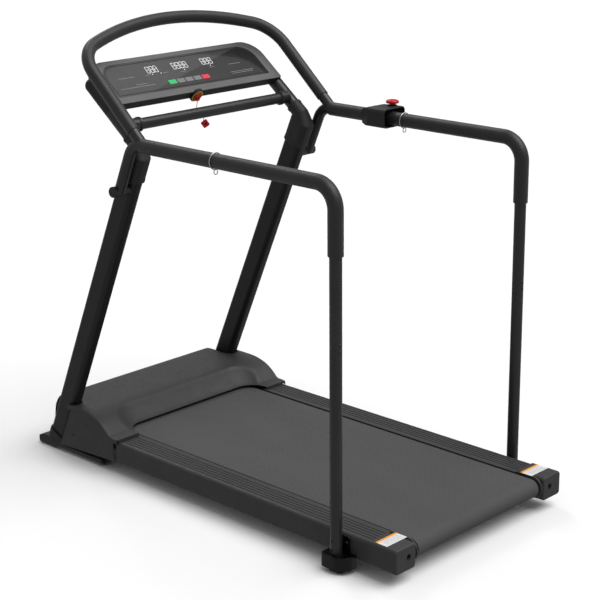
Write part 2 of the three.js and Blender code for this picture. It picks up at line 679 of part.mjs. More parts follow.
// Moulded sleeve over the upright's head, turned up to meet the console arm.
function elbow() {
  const SLEEVE_WALL = 2.5;
  const RING = -92; // end of the upper sleeve, along the arm
  const KNEE = -134;
  const lower = uprightSleeve(897, 966);
  const upper = armBar(ARM_R + SLEEVE_WALL, RING, KNEE);
  const knee = wrap(armBar(ARM_R + SLEEVE_WALL, KNEE + 16, KNEE), uprightSleeve(945, 966));
  const solid = join(lower, upper, knee);
  return cut(solid, uprightSolid(1, 2 * GAP, 880, 948), armBar(ARM_R + GAP, -119, -80));
}

// The lower sleeve stands further off the upright's sides than off its front and back.
function uprightSleeve(z0, z1) {
  const at = (z) => new THREE.Vector3(UPRIGHT_X, UPRIGHT_FOOT_Y - UPRIGHT_LEAN * z, z);
  return sweep([at(z0), at(z1)], X_AXIS, outline(roundedRect(UPRIGHT_D + 6, UPRIGHT_W + 12, 20, 5)));
}

function crossbar() {
  const HALF = 306;
  const CUP_R = 21;
  const CUP_IN = 272;
  const bar = cylinderX(RAIL_TUBE_R, -HALF, HALF, CROSSBAR_Y, CROSSBAR_Z, 20);
  const cups = [-1, 1].map((side) => {
    const x0 = Math.min(side * CUP_IN, side * HALF);
    return cylinderX(CUP_R, x0, x0 + HALF - CUP_IN, CROSSBAR_Y, CROSSBAR_Z, 20);
  });
  const solid = join(bar, ...cups);
  const bore = cylinderX(RAIL_TUBE_R - TUBE_WALL, -HALF - 1, HALF + 1, CROSSBAR_Y, CROSSBAR_Z, 16);
  const armCut = armBar(ARM_R + GAP, -140, 20);
  const beyond = box(ARM_X, HALF + 20, 200, 400, 950, 1120);
  return cut(solid, bore, armCut, mirrorX(armCut), beyond, mirrorX(beyond));
}

// ---- handrails, posts and arch ----
const BEND_STEPS = 4;

function handrailStations() {
  const drop = HANDRAIL_Z - STUB_Z + 4;
  const footY = HANDRAIL_CORNER_Y + UPRIGHT_LEAN * drop;
  const dropFoot = new THREE.Vector3(HANDRAIL_X, footY, HANDRAIL_Z - drop);
  const front = new THREE.Vector3(HANDRAIL_X, HANDRAIL_CORNER_Y, HANDRAIL_Z);
  const rear = new THREE.Vector3(HANDRAIL_X, POST_Y, HANDRAIL_Z);
  const foot = new THREE.Vector3(HANDRAIL_X, POST_Y, POST_JOINT_Z + GAP);
  return bentPath([dropFoot, front, rear, foot], [DROP_BEND_R, HANDRAIL_BEND_R], BEND_STEPS);
}

function stubBar(r) {
  const y = HANDRAIL_CORNER_Y + UPRIGHT_LEAN * (HANDRAIL_Z - STUB_Z);
  return cylinderX(r, UPRIGHT_X + UPRIGHT_W / 2 + GAP, HANDRAIL_X + 26, y + 4, STUB_Z, 16);
}

const SPIGOT_R = 13.2; // slides inside the lower post

function handrail() {
  const solid = sweep(handrailStations(), X_AXIS, tubeSection(RAIL_TUBE_R, 0));
  const BORE_R = RAIL_TUBE_R - TUBE_WALL;
  const bore = sweep(handrailStations(), X_AXIS, tubeSection(BORE_R, 0, BORE_SIDES));
  const open = box(
    HANDRAIL_X - BORE_R,
    HANDRAIL_X + BORE_R,
    POST_Y - BORE_R,
    POST_Y + BORE_R,
    POST_JOINT_Z - 9,
    POST_JOINT_Z + 1,
  );
  const spigot = cylinderZ(SPIGOT_R, POST_JOINT_Z - 60, POST_JOINT_Z + 20, HANDRAIL_X, POST_Y, 12);
  const hollow = cut(solid, bore, open);
  return cut(join(hollow, stubBar(15), spigot), uprightSolid(1, 2 * GAP, 700, 990));
}

function handrailFoam() {
  const start = new THREE.Vector3(HANDRAIL_X, 160, HANDRAIL_Z);
  const rear = new THREE.Vector3(HANDRAIL_X, POST_Y, HANDRAIL_Z);
  const foot = new THREE.Vector3(HANDRAIL_X, POST_Y, POST_FOAM_END_Z);
  const stations = bentPath([start, rear, foot], [HANDRAIL_BEND_R], BEND_STEPS);
  return sweep(stations, X_AXIS, foamSection(RAIL_FOAM_R));
}

const CUP_Z = 12; // underside of the cup below each side post
const POST_BOTTOM = CUP_Z + 5;

function lowerPost() {
  const section = tubeSection(RAIL_TUBE_R, RAIL_TUBE_R - TUBE_WALL, 12, 12);
  const top = new THREE.Vector3(HANDRAIL_X, POST_Y, POST_JOINT_Z);
  const foot = new THREE.Vector3(HANDRAIL_X, POST_Y, POST_BOTTOM);
  return sweep([foot, top], X_AXIS, section);
}

// Folded steel cup under each side post, with a plate against the foot rail's side wall.
function footBracketOutline(inset) {
  const inner = RAIL_OUT_X + GAP;
  const outer = 397 - inset;
  const frontY = -506 - inset;
  const rearY = -588 + inset;
  const FLAT = 14;
  const points = [[inner + inset, rearY], [inner + FLAT, rearY]];
  const CURVE_START = -548;
  const CURVE_STEPS = 6;
  for (let i = 1; i <= CURVE_STEPS; i += 1) {
    const a = (Math.PI / 2) * (1 - i / CURVE_STEPS);
    const x = inner + FLAT + (outer - inner - FLAT) * Math.cos(a);
    points.push([x, CURVE_START - (CURVE_START - rearY) * Math.sin(a)]);
  }
  points.push([outer, frontY - 12], [outer - 10, frontY], [inner + inset, frontY]);
  return points;
}

function footBracket() {
  const TOP = 48;
  const WALL = 3;
  const cup = extrudeZ(outline(footBracketOutline(0)), CUP_Z, TOP);
  const hollow = extrudeZ(outline(footBracketOutline(WALL)), CUP_Z + WALL, TOP - WALL);
  const tab = box(RAIL_OUT_X + GAP, RAIL_OUT_X + GAP + WALL, -568, -512, TOP - 1, 92);
  const hole = cylinderZ(RAIL_TUBE_R + GAP, POST_BOTTOM - GAP, TOP + 60, HANDRAIL_X, POST_Y, 16);
  const pieces = join(cut(cup, hollow), tab);
  return cut(pieces, hole);
}

function rearPad() {
  return extrudeZ(outline(roundedRect(28, 42, 10, 3, 371, -545)), 0, CUP_Z - GAP);
}

// A point in the arch's plane: x across, s up the slope from the foam's ends.
function archPoint(x, s) {
  return new THREE.Vector3(x, ARCH_BASE_Y + s * Math.cos(ARCH_TILT), ARCH_BASE_Z + s * Math.sin(ARCH_TILT));
}

const ARCH_NORMAL = new THREE.Vector3(0, -Math.sin(ARCH_TILT), Math.cos(ARCH_TILT));
const ARCH_HALF_W = 370;

// Two straight legs joined by a long bow, with rounded shoulders.
function archStations(fromS) {
  const centreS = ARCH_RISE - ARCH_CROWN_R;
  const SHOULDER_R = 105;
  // the shoulder's arc touches the leg's line inside and the crown's arc inside
  const cx = ARCH_HALF_W - SHOULDER_R;
  const cs = centreS + Math.sqrt((ARCH_CROWN_R - SHOULDER_R) ** 2 - cx ** 2);
  const touch = Math.atan2(cs - centreS, cx);
  const half = [[ARCH_HALF_W, fromS]];
  const SHOULDER_STEPS = 4;
  const CROWN_STEPS = 3;
  for (let i = 0; i <= SHOULDER_STEPS; i += 1) {
    const a = (touch * i) / SHOULDER_STEPS;
    half.push([cx + SHOULDER_R * Math.cos(a), cs + SHOULDER_R * Math.sin(a)]);
  }
  for (let i = 1; i <= CROWN_STEPS; i += 1) {
    const a = touch + ((Math.PI / 2 - touch) * i) / CROWN_STEPS;
    half.push([ARCH_CROWN_R * Math.cos(a), centreS + ARCH_CROWN_R * Math.sin(a)]);
  }
  const mirrored = half.slice(0, -1).reverse().map(([x, s]) => [-x, s]);
  return [...half, ...mirrored].map(([x, s]) => archPoint(x, s));
}

function archTube() {
  const BELOW_FOAM = -52;
  const section = tubeSection(RAIL_TUBE_R, RAIL_TUBE_R - TUBE_WALL);
  const tube = sweep(archStations(BELOW_FOAM), ARCH_NORMAL, section);
  const railCut = sweep(handrailStations(), X_AXIS, tubeSection(RAIL_TUBE_R + GAP, 0));
  const foamCut = cylinderY(RAIL_FOAM_R + 2 * GAP, -100, 160 + 2 * GAP, HANDRAIL_X, HANDRAIL_Z, 16);
  const below = box(300, 440, 60, 300, 900, HANDRAIL_Z);
  return cut(tube, railCut, foamCut, below, mirrorX(railCut), mirrorX(foamCut), mirrorX(below));
}

const archFoam = () => sweep(archStations(0), ARCH_NORMAL, foamSection(ARCH_FOAM_R));

// ---- console ----
const consoleGroup = new THREE.Group();
consoleGroup.position.set(0, CONSOLE_Y, CONSOLE_Z);
consoleGroup.rotation.x = CONSOLE_TILT;
treadmill.add(consoleGroup);

// Console outlines in the face's own plane: x across, y up the slope from the bottom edge.
function faceOutline(halfW, bottom, top, topR, bottomR) {
  const points = [];
  const addArc = (cx, cy, r, from) => {
    const STEPS = 6;
    for (let i = 0; i <= STEPS; i += 1) {
      const a = from + ((Math.PI / 2) * i) / STEPS;
      points.push([cx + r * Math.cos(a), cy + r * Math.sin(a)]);
    }
  };
  addArc(halfW - topR, top - topR, topR, 0);
  addArc(-halfW + topR, top - topR, topR, Math.PI / 2);
  addArc(-halfW + bottomR, bottom + bottomR, bottomR, Math.PI);
  addArc(halfW - bottomR, bottom + bottomR, bottomR, (3 * Math.PI) / 2);
  return points;
}

const CONSOLE_TOP_R = 62;
const CONSOLE_BOTTOM_R = 6;
const WINDOW_HALF = 292;
const WINDOW_BOTTOM = 23;
const WINDOW_TOP = 144;
const WINDOW_TOP_R = 52;
const WINDOW_BOTTOM_R = 4;
const KEY_PITCH = 32;
const KEY_W = 28;
const KEY_H = 16;
const KEY_CENTRE_X = -12;
const KEY_ROW = 49;
const KEYS = [
  ['start', GREEN], ['slower', GREY_KEY], ['mode', GREY_KEY], ['faster', GREY_KEY], ['stop', RED],
];
const keyX = (i) => KEY_CENTRE_X + (i - 2) * KEY_PITCH;

function buildConsole() {
  const WALL = 3;
  const FACE = 3;
  const edge = faceOutline(CONSOLE_HALF_W, 0, CONSOLE_H, CONSOLE_TOP_R, CONSOLE_BOTTOM_R);
  const innerEdge = faceOutline(
    CONSOLE_HALF_W - WALL,
    WALL,
    CONSOLE_H - WALL,
    CONSOLE_TOP_R - WALL,
    CONSOLE_BOTTOM_R - WALL,
  );
  const body = extrudeZ(outline(edge), -CONSOLE_DEPTH, -FACE - GAP);
  const hollow = extrudeZ(outline(innerEdge), -CONSOLE_DEPTH + WALL, 0);
  const keyHole = new THREE.CylinderGeometry(5, 5, 12, 12).translate(SAFETY_X, 2, -CONSOLE_DEPTH / 2);
  // a boss behind each end carries on the arm's line, and ends in a dome
  const BOSS_LENGTH = 104;
  const boss = new THREE.CylinderGeometry(ARM_R, ARM_R, BOSS_LENGTH, 20)
    .translate(ARM_X, BOSS_LENGTH / 2, -ARM_DEPTH);
  const dome = new THREE.SphereGeometry(ARM_R, 20, 10).translate(ARM_X, BOSS_LENGTH, -ARM_DEPTH);
  const shell = join(cut(body, hollow, keyHole), boss, mirrorX(boss), dome, mirrorX(dome));
  addMesh('console_shell', shell, BLACK_PLASTIC, consoleGroup);

  const windowEdge = (inset) => faceOutline(
    WINDOW_HALF - inset,
    WINDOW_BOTTOM + inset,
    WINDOW_TOP - inset,
    WINDOW_TOP_R - inset,
    WINDOW_BOTTOM_R - inset,
  );
  const bezel = outline(edge, [windowEdge(0)]);
  addMesh('console_bezel', extrudeZ(bezel, -FACE, 0), BLACK_PLASTIC, consoleGroup);

  const keyHoles = KEYS.map((_, i) => roundedRect(KEY_W + 0.8, KEY_H + 0.8, 2, 2, keyX(i), KEY_ROW));
  const panel = extrudeZ(outline(windowEdge(GAP), keyHoles), -FACE, -0.8);
  addMesh('console_panel', panel, GLOSS_BLACK, consoleGroup);

  KEYS.forEach(([name, look], i) => {
    const key = outline(roundedRect(KEY_W, KEY_H, 1.8, 2, keyX(i), KEY_ROW));
    addMesh(`${name}_button`, extrudeZ(key, -5.5, 0.4), look, consoleGroup);
  });
  addMesh('console_board', box(-200, 200, 22, 138, -10, -8.4), BOARD, consoleGroup);
}

// ---- safety key, lanyard and clip ----
const SOCKET_R = 22;
const SOCKET_DEPTH = 7;
const KEY_R = 14;
const KEY_THICK = 7;

function buildSafetyKey() {
  // local frame: the console's lower edge faces down the slope, along -Y
  const disc = (r, y0, y1, sides = 28) => cylinderY(r, y0, y1, SAFETY_X, -CONSOLE_DEPTH / 2, sides);
  const socket = cut(disc(SOCKET_R, -SOCKET_DEPTH, -GAP), disc(KEY_R + 0.6, -SOCKET_DEPTH - 1, -3));
  addMesh('key_socket', socket, finish(0xc8c828, 0.45), consoleGroup);
  const lug = cylinderX(4, SAFETY_X - 2.5, SAFETY_X + 2.5, -12, -CONSOLE_DEPTH / 2 - 9, 12);
  addMesh('safety_key', join(disc(KEY_R, -3.4 - KEY_THICK, -3.4), lug), RED, consoleGroup);
}

// The lanyard drops from the key's lug in front of the crossbar to the collar of its clip.
const LANYARD_R = 1;
const LANYARD_ROUTE = [
  [-15, 325.3, 1057.4], [-15.3, 325.3, 1054], [-16.1, 325.3, 1050], [-17.1, 325.3, 1046],
  [-17.9, 325.3, 1042], [-18.2, 325.3, 1038], [-17.7, 325.3, 1034], [-16.4, 325.3, 1030.2],
  [-14.1, 325.3, 1026.6], [-11, 325.3, 1023.4], [-7.3, 325.3, 1020.4], [-3.2, 325.3, 1017.4],
  [0.8, 325.3, 1014.3], [4.3, 325.3, 1011], [7, 325.3, 1007.4], [8.5, 325.3, 1003.8], [8.8, 325.3, 1000.6],
];
const CLIP_SIDE = 19.5;
const CLIP_HALF_THICK = 4;
const CLIP_ROLL = THREE.MathUtils.degToRad(-35); // hangs by one side, so its corners point up and down
const CLIP_TURN = THREE.MathUtils.degToRad(-46);
const CLIP_CENTRE = new THREE.Vector3(14, 325.3, 988.9);

function buildLanyard() {
  const points = LANYARD_ROUTE.map(([x, y, z]) => new THREE.Vector3(x, y, z));
  const curve = new THREE.CatmullRomCurve3(points);
  const cord = new THREE.ExtrudeGeometry(tubeSection(LANYARD_R, 0, 8), { steps: 24, extrudePath: curve });
  addMesh('key_lanyard', cord, RED);

  const plate = extrudeY(outline(roundedRect(CLIP_SIDE, CLIP_SIDE, 3, 2)), -CLIP_HALF_THICK, CLIP_HALF_THICK);
  plate.rotateY(CLIP_ROLL).rotateZ(CLIP_TURN).translate(CLIP_CENTRE.x, CLIP_CENTRE.y, CLIP_CENTRE.z);
  const end = points[points.length - 1];
  const collar = cylinderZ(2.2, end.z - GAP - 7, end.z - GAP, end.x, end.y, 10);
  addMesh('key_clip', join(plate, collar), RED);
}

// ---- stop switch on the right handrail ----
function buildStopSwitch() {
  const REAR = -89;
  const FRONT = 18;
  const IN_X = 323;
  const OUT_X = 417;
  const BOX_TOP = HANDRAIL_Z + 32.5;
  const BOX_BOTTOM = HANDRAIL_Z - 24;
  const WALL = 3;
  const cx = (IN_X + OUT_X) / 2;
  const cz = (BOX_TOP + BOX_BOTTOM) / 2;
  const section = (inset, corner) => outline(
    roundedRect(OUT_X - IN_X - 2 * inset, BOX_TOP - BOX_BOTTOM - 2 * inset, corner, 4, cx, cz),
  );
  // in plan the box narrows forward to the handrail, and from the side it slopes down to it
  const plan = (inset) => extrudeZ(outline([
    [IN_X + inset, REAR - 1], [OUT_X - inset, REAR - 1], [OUT_X - inset, -65], [398 - inset, -30],
    [393 - inset, FRONT - inset], [349 + inset, FRONT - inset], [IN_X + inset, -24],
  ]), BOX_BOTTOM, BOX_TOP);
  const slope = (inset) => extrudeX(outline([
    [REAR - 1, BOX_BOTTOM + inset], [-18, BOX_BOTTOM + inset], [FRONT, HANDRAIL_Z - 21.5],
    [FRONT, HANDRAIL_Z + 21.5], [-26, BOX_TOP - inset], [REAR - 1, BOX_TOP - inset],
  ]), IN_X, OUT_X);
  const body = shared(extrudeY(section(0, 13), REAR, FRONT), plan(0), slope(0));
  const hollow = shared(extrudeY(section(WALL, 10), REAR - 1, -30), plan(WALL), slope(WALL));
  const bore = cylinderY(RAIL_FOAM_R + GAP, REAR - 1, FRONT + 1, HANDRAIL_X, HANDRAIL_Z, 24);
  const stemHole = cylinderZ(5.6, HANDRAIL_Z + 10, BOX_TOP + 1, STOP_X, STOP_Y);
  addMesh('stop_housing', cut(body, bore, hollow, stemHole), BLACK_PLASTIC);
  // radius and height above the housing: a short stem, then the domed head
  const stem = [[0, -1.5], [5, -1.5], [5, 6.5]];
  const head = [[16, 6.5], [19, 9], [19, 13], [14, 16.5], [0, 17.5]];
  const profile = [...stem, ...head].map(([r, z]) => new THREE.Vector2(r, BOX_TOP + z));
  const button = new THREE.LatheGeometry(profile, 24).rotateX(Math.PI / 2);
  addMesh('stop_mushroom', button.translate(STOP_X, STOP_Y, 0), RED);
}

// A wire ring round each handrail, with a small eye below for the lanyard.
function wireRing() {
  const WIRE_R = 1.3;
  const RING_R = RAIL_FOAM_R + 2 * GAP + WIRE_R;
  const ring = new THREE.TorusGeometry(RING_R, WIRE_R, 6, 16);
  const eye = new THREE.TorusGeometry(6.5, WIRE_R, 6, 10).translate(0, -RING_R - 6.2, 0);
  const wire = join(ring, eye);
  return wire.rotateX(Math.PI / 2).translate(HANDRAIL_X, -126, HANDRAIL_Z);
}

// ---- electrical pieces under the cover ----
function inletBlock() {
  const body = box(INLET_X - 15, INLET_X + 15, 680, 703, 62, 84);
  return cut(body, box(INLET_X - 10, INLET_X + 10, 690, 704, 67, 79));
}

// The rocker's face is a shallow V, so one end stands proud.
function rocker() {
  const face = [[691, 66], [703.5, 65.5], [701.5, 73], [705.5, 80.5], [691, 80]];
  return extrudeX(outline(face), ROCKER_X - 11, ROCKER_X + 11);
}

addMesh('base_frame', baseFrame(), BLACK_STEEL);
addMesh('deck_board', box(-288, 288, -630, 430, DECK_BOTTOM, DECK_TOP - GAP), WOOD);
addMesh('walking_belt', walkingBelt(), BELT);
addMesh('front_roller', roller(FRONT_ROLLER_Y, 30, true), ALUMINIUM);
addMesh('rear_roller', roller(REAR_ROLLER_Y, 30, false), ALUMINIUM);
addMesh('motor', motor(), BLACK_STEEL);
addMesh('motor_pulley', motorPulley(), STEEL);
addMesh('drive_belt', driveBelt(), RUBBER);
addMesh('controller', box(20, 180, 530, 640, TRAY_TOP + GAP, 96), BLACK_PLASTIC);
addPair('side_rail', extrudeY(outline(railSection()), CAP_FRONT_Y + GAP, RAIL_FRONT_Y), RIB_PLASTIC);
addPair('end_cap', endCap(), BLACK_PLASTIC);
addPair('tension_bolt', tensionBolt(), STEEL);
addMesh('motor_cover', hood(), HOOD_PLASTIC);
addPair('cover_side', sidePanel(), BLACK_PLASTIC);
addPair('floor_rail', floorRail(), BLACK_STEEL);
addPair('transport_wheel', wheel(), RUBBER);
addPair('upright', upright(), BLACK_STEEL);
addPair('elbow', elbow(), BLACK_PLASTIC);
addPair('console_arm', arm(), BLACK_STEEL);
addMesh('crossbar', crossbar(), BLACK_STEEL);
addPair('handrail', handrail(), BLACK_STEEL);
addPair('handrail_foam', handrailFoam(), FOAM);
addPair('lower_post', lowerPost(), BLACK_STEEL);
addPair('foot_bracket', footBracket(), BLACK_STEEL);
addPair('rear_pad', rearPad(), RUBBER);
addMesh('arch_tube', archTube(), BLACK_STEEL);
addMesh('arch_foam', archFoam(), FOAM);
buildConsole();
buildSafetyKey();
buildLanyard();
buildStopSwitch();
addPair('wire_ring', wireRing(), STEEL);
addMesh('power_inlet', inletBlock(), BLACK_PLASTIC);
addMesh('rocker_switch', rocker(), RED);

export default treadmill;
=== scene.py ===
"""Looks of the walking treadmill: its visible pieces, materials, floor, lights and camera.

Sizes are in metres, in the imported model's frame: +Z up, +Y towards the console, +X the walker's right.
"""
import math

import bmesh
import bpy
from mathutils import Matrix, Vector
from mathutils.geometry import tessellate_polygon


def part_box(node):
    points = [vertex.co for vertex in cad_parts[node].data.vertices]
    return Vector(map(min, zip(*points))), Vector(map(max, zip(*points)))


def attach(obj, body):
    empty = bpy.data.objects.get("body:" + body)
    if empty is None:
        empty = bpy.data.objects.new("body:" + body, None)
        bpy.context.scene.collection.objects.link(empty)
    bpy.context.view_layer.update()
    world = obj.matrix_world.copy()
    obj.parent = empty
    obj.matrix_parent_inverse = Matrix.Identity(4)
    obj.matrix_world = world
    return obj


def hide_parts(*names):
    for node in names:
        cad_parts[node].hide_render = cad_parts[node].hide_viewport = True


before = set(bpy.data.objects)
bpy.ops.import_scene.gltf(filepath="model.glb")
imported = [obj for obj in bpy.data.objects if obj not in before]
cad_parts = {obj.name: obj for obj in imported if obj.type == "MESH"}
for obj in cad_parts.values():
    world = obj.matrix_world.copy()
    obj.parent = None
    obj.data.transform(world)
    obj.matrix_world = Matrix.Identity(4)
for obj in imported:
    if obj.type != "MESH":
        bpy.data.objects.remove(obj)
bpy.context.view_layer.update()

X = Vector((1, 0, 0))
Y = Vector((0, 1, 0))
Z = Vector((0, 0, 1))
GAP = 0.0003  # clearance between pieces that touch
WALL = 0.003  # moulded and pressed shells


# ---- places, read from the frame ----
def low(node):
    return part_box(node)[0]


def high(node):
    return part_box(node)[1]


def middle(node):
    return (low(node) + high(node)) / 2


POST = middle("lower_post_right")
TUBE_R = (high("lower_post_right").x - low("lower_post_right").x) / 2
RAIL_Z = high("handrail_right").z - TUBE_R
FOAM_R = (high("handrail_foam_right").x - low("handrail_foam_right").x) / 2
FOAM_FRONT_Y = high("handrail_foam_right").y
FOAM_END_Z = low("handrail_foam_right").z
POST_TOP_Z = high("lower_post_right").z
CROSSBAR = middle("crossbar")
BELT_LOW = low("walking_belt")
BELT_HIGH = high("walking_belt")
CAP_LOW = low("end_cap_right")
CAP_HIGH = high("end_cap_right")
BOLT = middle("tension_bolt_right")
WHEEL = middle("transport_wheel_right")
STOP = middle("stop_mushroom")
RING = middle("wire_ring_right")
BRACKET_LOW = low("foot_bracket_right")
BRACKET_HIGH = high("foot_bracket_right")

TUBE_WALL = 0.002
AXLE_Z = BOLT.z
UPRIGHT_X = middle("upright_right").x
UPRIGHT_LEAN = 0.442  # how far back it goes for each metre up
UPRIGHT_FOOT_Y = 0.658
UPRIGHT_D = 0.068
UPRIGHT_W = 0.04
UPRIGHT_CORNER = 0.015
UPRIGHT_BOTTOM = 0.02
RAIL_BEND_R = 0.062
DROP_BEND_R = 0.05
RAIL_CORNER_Y = 0.196
STUB_Z = 0.866
ARCH_TILT = math.radians(42)
ARCH_BASE = Vector((0, 0.192, 1.038))
ARCH_HALF = 0.37
ARCH_RISE = 0.365
ARCH_CROWN_R = 0.83
ARCH_SHOULDER_R = 0.105
ARCH_FOAM_R = 0.018
CONSOLE_TILT = math.radians(38)
CONSOLE = Matrix.Translation((0, 0.32, 1.088)) @ Matrix.Rotation(CONSOLE_TILT, 4, "X")
CONSOLE_HALF = high("console_bezel").x
CONSOLE_H = 0.16
CONSOLE_DEPTH = 0.03
ARM_X = middle("console_arm_right").x
ARM_R = 0.02
ARM_DEPTH = 0.027
SAFETY_X = middle("safety_key").x


def add_object(name, data):
    thing = bpy.data.objects.new(name, data)
    bpy.context.scene.collection.objects.link(thing)
    return thing


# ---- camera ----
def make_camera():
    """The photograph's view: from behind the walker's left, a little above the handrails."""
    target = Vector((-0.6375, -0.6765, 0.8081))
    azimuth = math.radians(-46.08)
    elevation = math.radians(16.95)
    roll = math.radians(-0.48)
    distance = 3.6248
    level = math.cos(elevation)
    back = Vector((math.sin(azimuth) * level, -math.cos(azimuth) * level, math.sin(elevation)))
    right = (-back).cross(Z).normalized()
    up = right.cross(-back)
    turned = Matrix((right, up, back)).transposed().to_4x4() @ Matrix.Rotation(roll, 4, "Z")
    data = bpy.data.cameras.new("camera")
    data.sensor_width = 36
    data.lens = 97.225
    camera = add_object("camera", data)
    camera.matrix_world = Matrix.Translation(target + back * distance) @ turned
    bpy.context.scene.camera = camera


make_camera()


# ---- materials ----
def shade(level, tint=(1, 1, 1)):
    """Linear colour of a grey given as it looks on a screen, from 0 to 255."""
    linear = (level / 255) ** 2.2
    return (linear * tint[0], linear * tint[1], linear * tint[2], 1)


def screen(red, green, blue):
    return tuple((v / 255) ** 2.2 for v in (red, green, blue)) + (1,)


class Look:
    """A principled material whose colour, roughness and relief come from procedural nodes."""

    def __init__(self, name, color, roughness, metallic=0.0, specular=0.5):
        self.material = bpy.data.materials.new(name)
        self.material.use_nodes = True
        self.nodes = self.material.node_tree.nodes
        self.links = self.material.node_tree.links
        self.shader = self.nodes["Principled BSDF"]
        self.color = color
        self.height = None
        self.put("Base Color", color)
        self.put("Roughness", roughness)
        self.put("Metallic", metallic)
        self.put("Specular IOR Level", specular)
        self.roughness = roughness
        self.place = self.nodes.new("ShaderNodeTexCoord").outputs["Object"]

    def put(self, socket, value):
        self.shader.inputs[socket].default_value = value
        return self

    def node(self, kind, inputs=None, **settings):
        made = self.nodes.new(kind)
        for key, value in settings.items():
            setattr(made, key, value)
        for key, value in (inputs or {}).items():
            if isinstance(value, bpy.types.NodeSocket):
                self.links.new(value, made.inputs[key])
            else:
                made.inputs[key].default_value = value
        return made

    def stretched(self, scale):
        return self.node("ShaderNodeMapping", {"Vector": self.place, "Scale": scale}).outputs[0]

    def noise(self, scale, detail=2.0, vector=None):
        inputs = {"Vector": vector or self.place, "Scale": scale, "Detail": detail}
        return self.node("ShaderNodeTexNoise", inputs).outputs["Fac"]

    def cells(self, scale, vector=None):
        inputs = {"Vector": vector or self.place, "Scale": scale}
        return self.node("ShaderNodeTexVoronoi", inputs).outputs["Distance"]

    def math(self, operation, first, second=0.0):
        return self.node("ShaderNodeMath", {0: first, 1: second}, operation=operation).outputs[0]

    def blend(self, first, first_share, second, second_share):
        """Two values added, each by its share."""
        parts = [self.math("MULTIPLY", first, first_share), self.math("MULTIPLY", second, second_share)]
        return self.math("ADD", *parts)

    def span(self, value, start, end, to_start, to_end):
        inputs = {"Value": value, "From Min": start, "From Max": end, "To Min": to_start, "To Max": to_end}
        return self.node("ShaderNodeMapRange", inputs).outputs[0]

    def mottle(self, value, spread, start=0.35, end=0.65):
        """Colour varies by this share, darker and lighter, with the value."""
        dark = tuple(c * (1 - spread) for c in self.color[:3]) + (1,)
        light = tuple(min(1, c * (1 + spread)) for c in self.color[:3]) + (1,)
        share = self.span(value, start, end, 0, 1)
        mix = self.node("ShaderNodeMix", {"Factor": share, 6: dark, 7: light}, data_type="RGBA")
        self.links.new(mix.outputs[2], self.shader.inputs["Base Color"])
        return self

    def worn(self, value, spread):
        """Roughness varies by this much either way with the value."""
        rough = self.span(value, 0.3, 0.7, self.roughness - spread, self.roughness + spread)
        self.links.new(rough, self.shader.inputs["Roughness"])
        return self

    def relief(self, value, distance, strength=1.0):
        inputs = {"Height": value, "Distance": distance, "Strength": strength}
        bump = self.node("ShaderNodeBump", inputs)
        if self.height is not None:
            self.links.new(self.height, bump.inputs["Normal"])
        self.height = bump.outputs[0]
        self.links.new(self.height, self.shader.inputs["Normal"])
        return self


def powder_coat(name, color, roughness=0.4, specular=0.35, peel=0.22):
    """Black powder-coated steel: a fine orange peel over a slightly uneven sheen."""
    look = Look(name, color, roughness, specular=specular)
    look.mottle(look.noise(9, 4), 0.12)
    look.worn(look.noise(30, 3), 0.05)
    look.relief(look.noise(700, 2), 0.0004, peel)
    look.relief(look.cells(1600), 0.0002, peel / 2)
    return look


def moulded_plastic(name, color, roughness=0.5, grain=1500, depth=0.22, specular=0.35):
    """Injection-moulded plastic with a spark-eroded grain."""
    look = Look(name, color, roughness, specular=specular)
    look.mottle(look.noise(14, 4), 0.07)
    look.worn(look.noise(55, 3), 0.06)
    look.relief(look.cells(grain), 0.0003, depth)
    look.relief(look.noise(grain * 1.7, 2), 0.0002, depth)
    return look


def foam_grip(name, color):
    """Closed-cell foam sleeve: small open pores, soft scuffs and a dusty sheen."""
    look = Look(name, color, 0.4, specular=0.5)
    pores = look.cells(900)
    look.mottle(look.blend(look.noise(24, 5), 0.7, pores, 0.5), 0.2)
    look.relief(pores, 0.0005, 0.45)
    look.relief(look.noise(420, 4), 0.0006, 0.35)
    look.put("Sheen Weight", 0.12)
    look.put("Sheen Roughness", 0.45)
    return look


def belt_fabric(name, color):
    """Walking belt: crossing diagonal ribs, a few millimetres apart, with scuffs along the walking line."""
    look = Look(name, color, 0.72, specular=0.3)
    look.place = look.node("ShaderNodeUVMap", uv_map="run").outputs[0]
    split = look.node("ShaderNodeSeparateXYZ", {0: look.place})
    pitch = 0.012
    turns = 2 * math.pi / pitch
    ribs = []
    for sign in (1, -1):
        along = look.math("MULTIPLY", split.outputs[0], sign * 0.8)
        diagonal = look.math("MULTIPLY", look.math("ADD", along, split.outputs[1]), turns)
        ribs.append(look.math("ABSOLUTE", look.math("SINE", diagonal)))
    weave = look.math("MINIMUM", ribs[0], ribs[1])
    scuffs = look.noise(5, 5, look.stretched((1.0, 0.35, 1.0)))
    look.mottle(look.blend(weave, 0.8, scuffs, 0.4), 0.32, 0.2, 0.85)
    look.relief(weave, 0.0009, 0.6)
    look.relief(look.noise(900, 2), 0.0003, 0.3)
    return look


def brushed_metal(name, color, roughness, stretch=(60, 900, 900)):
    """Turned or drawn metal: fine scratches along one direction."""
    look = Look(name, color, roughness, metallic=1.0)
    lines = look.noise(1.0, 3, look.stretched(stretch))
    look.mottle(lines, 0.12)
    look.worn(lines, 0.08)
    look.relief(lines, 0.0002, 0.15)
    return look


def laminated_board(name, color):
    """Deck board: waxed fibreboard with stretched fibres."""
    look = Look(name, color, 0.55)
    fibres = look.noise(1.0, 5, look.stretched((120, 9, 300)))
    look.mottle(fibres, 0.3)
    look.relief(fibres, 0.0004, 0.3)
    return look


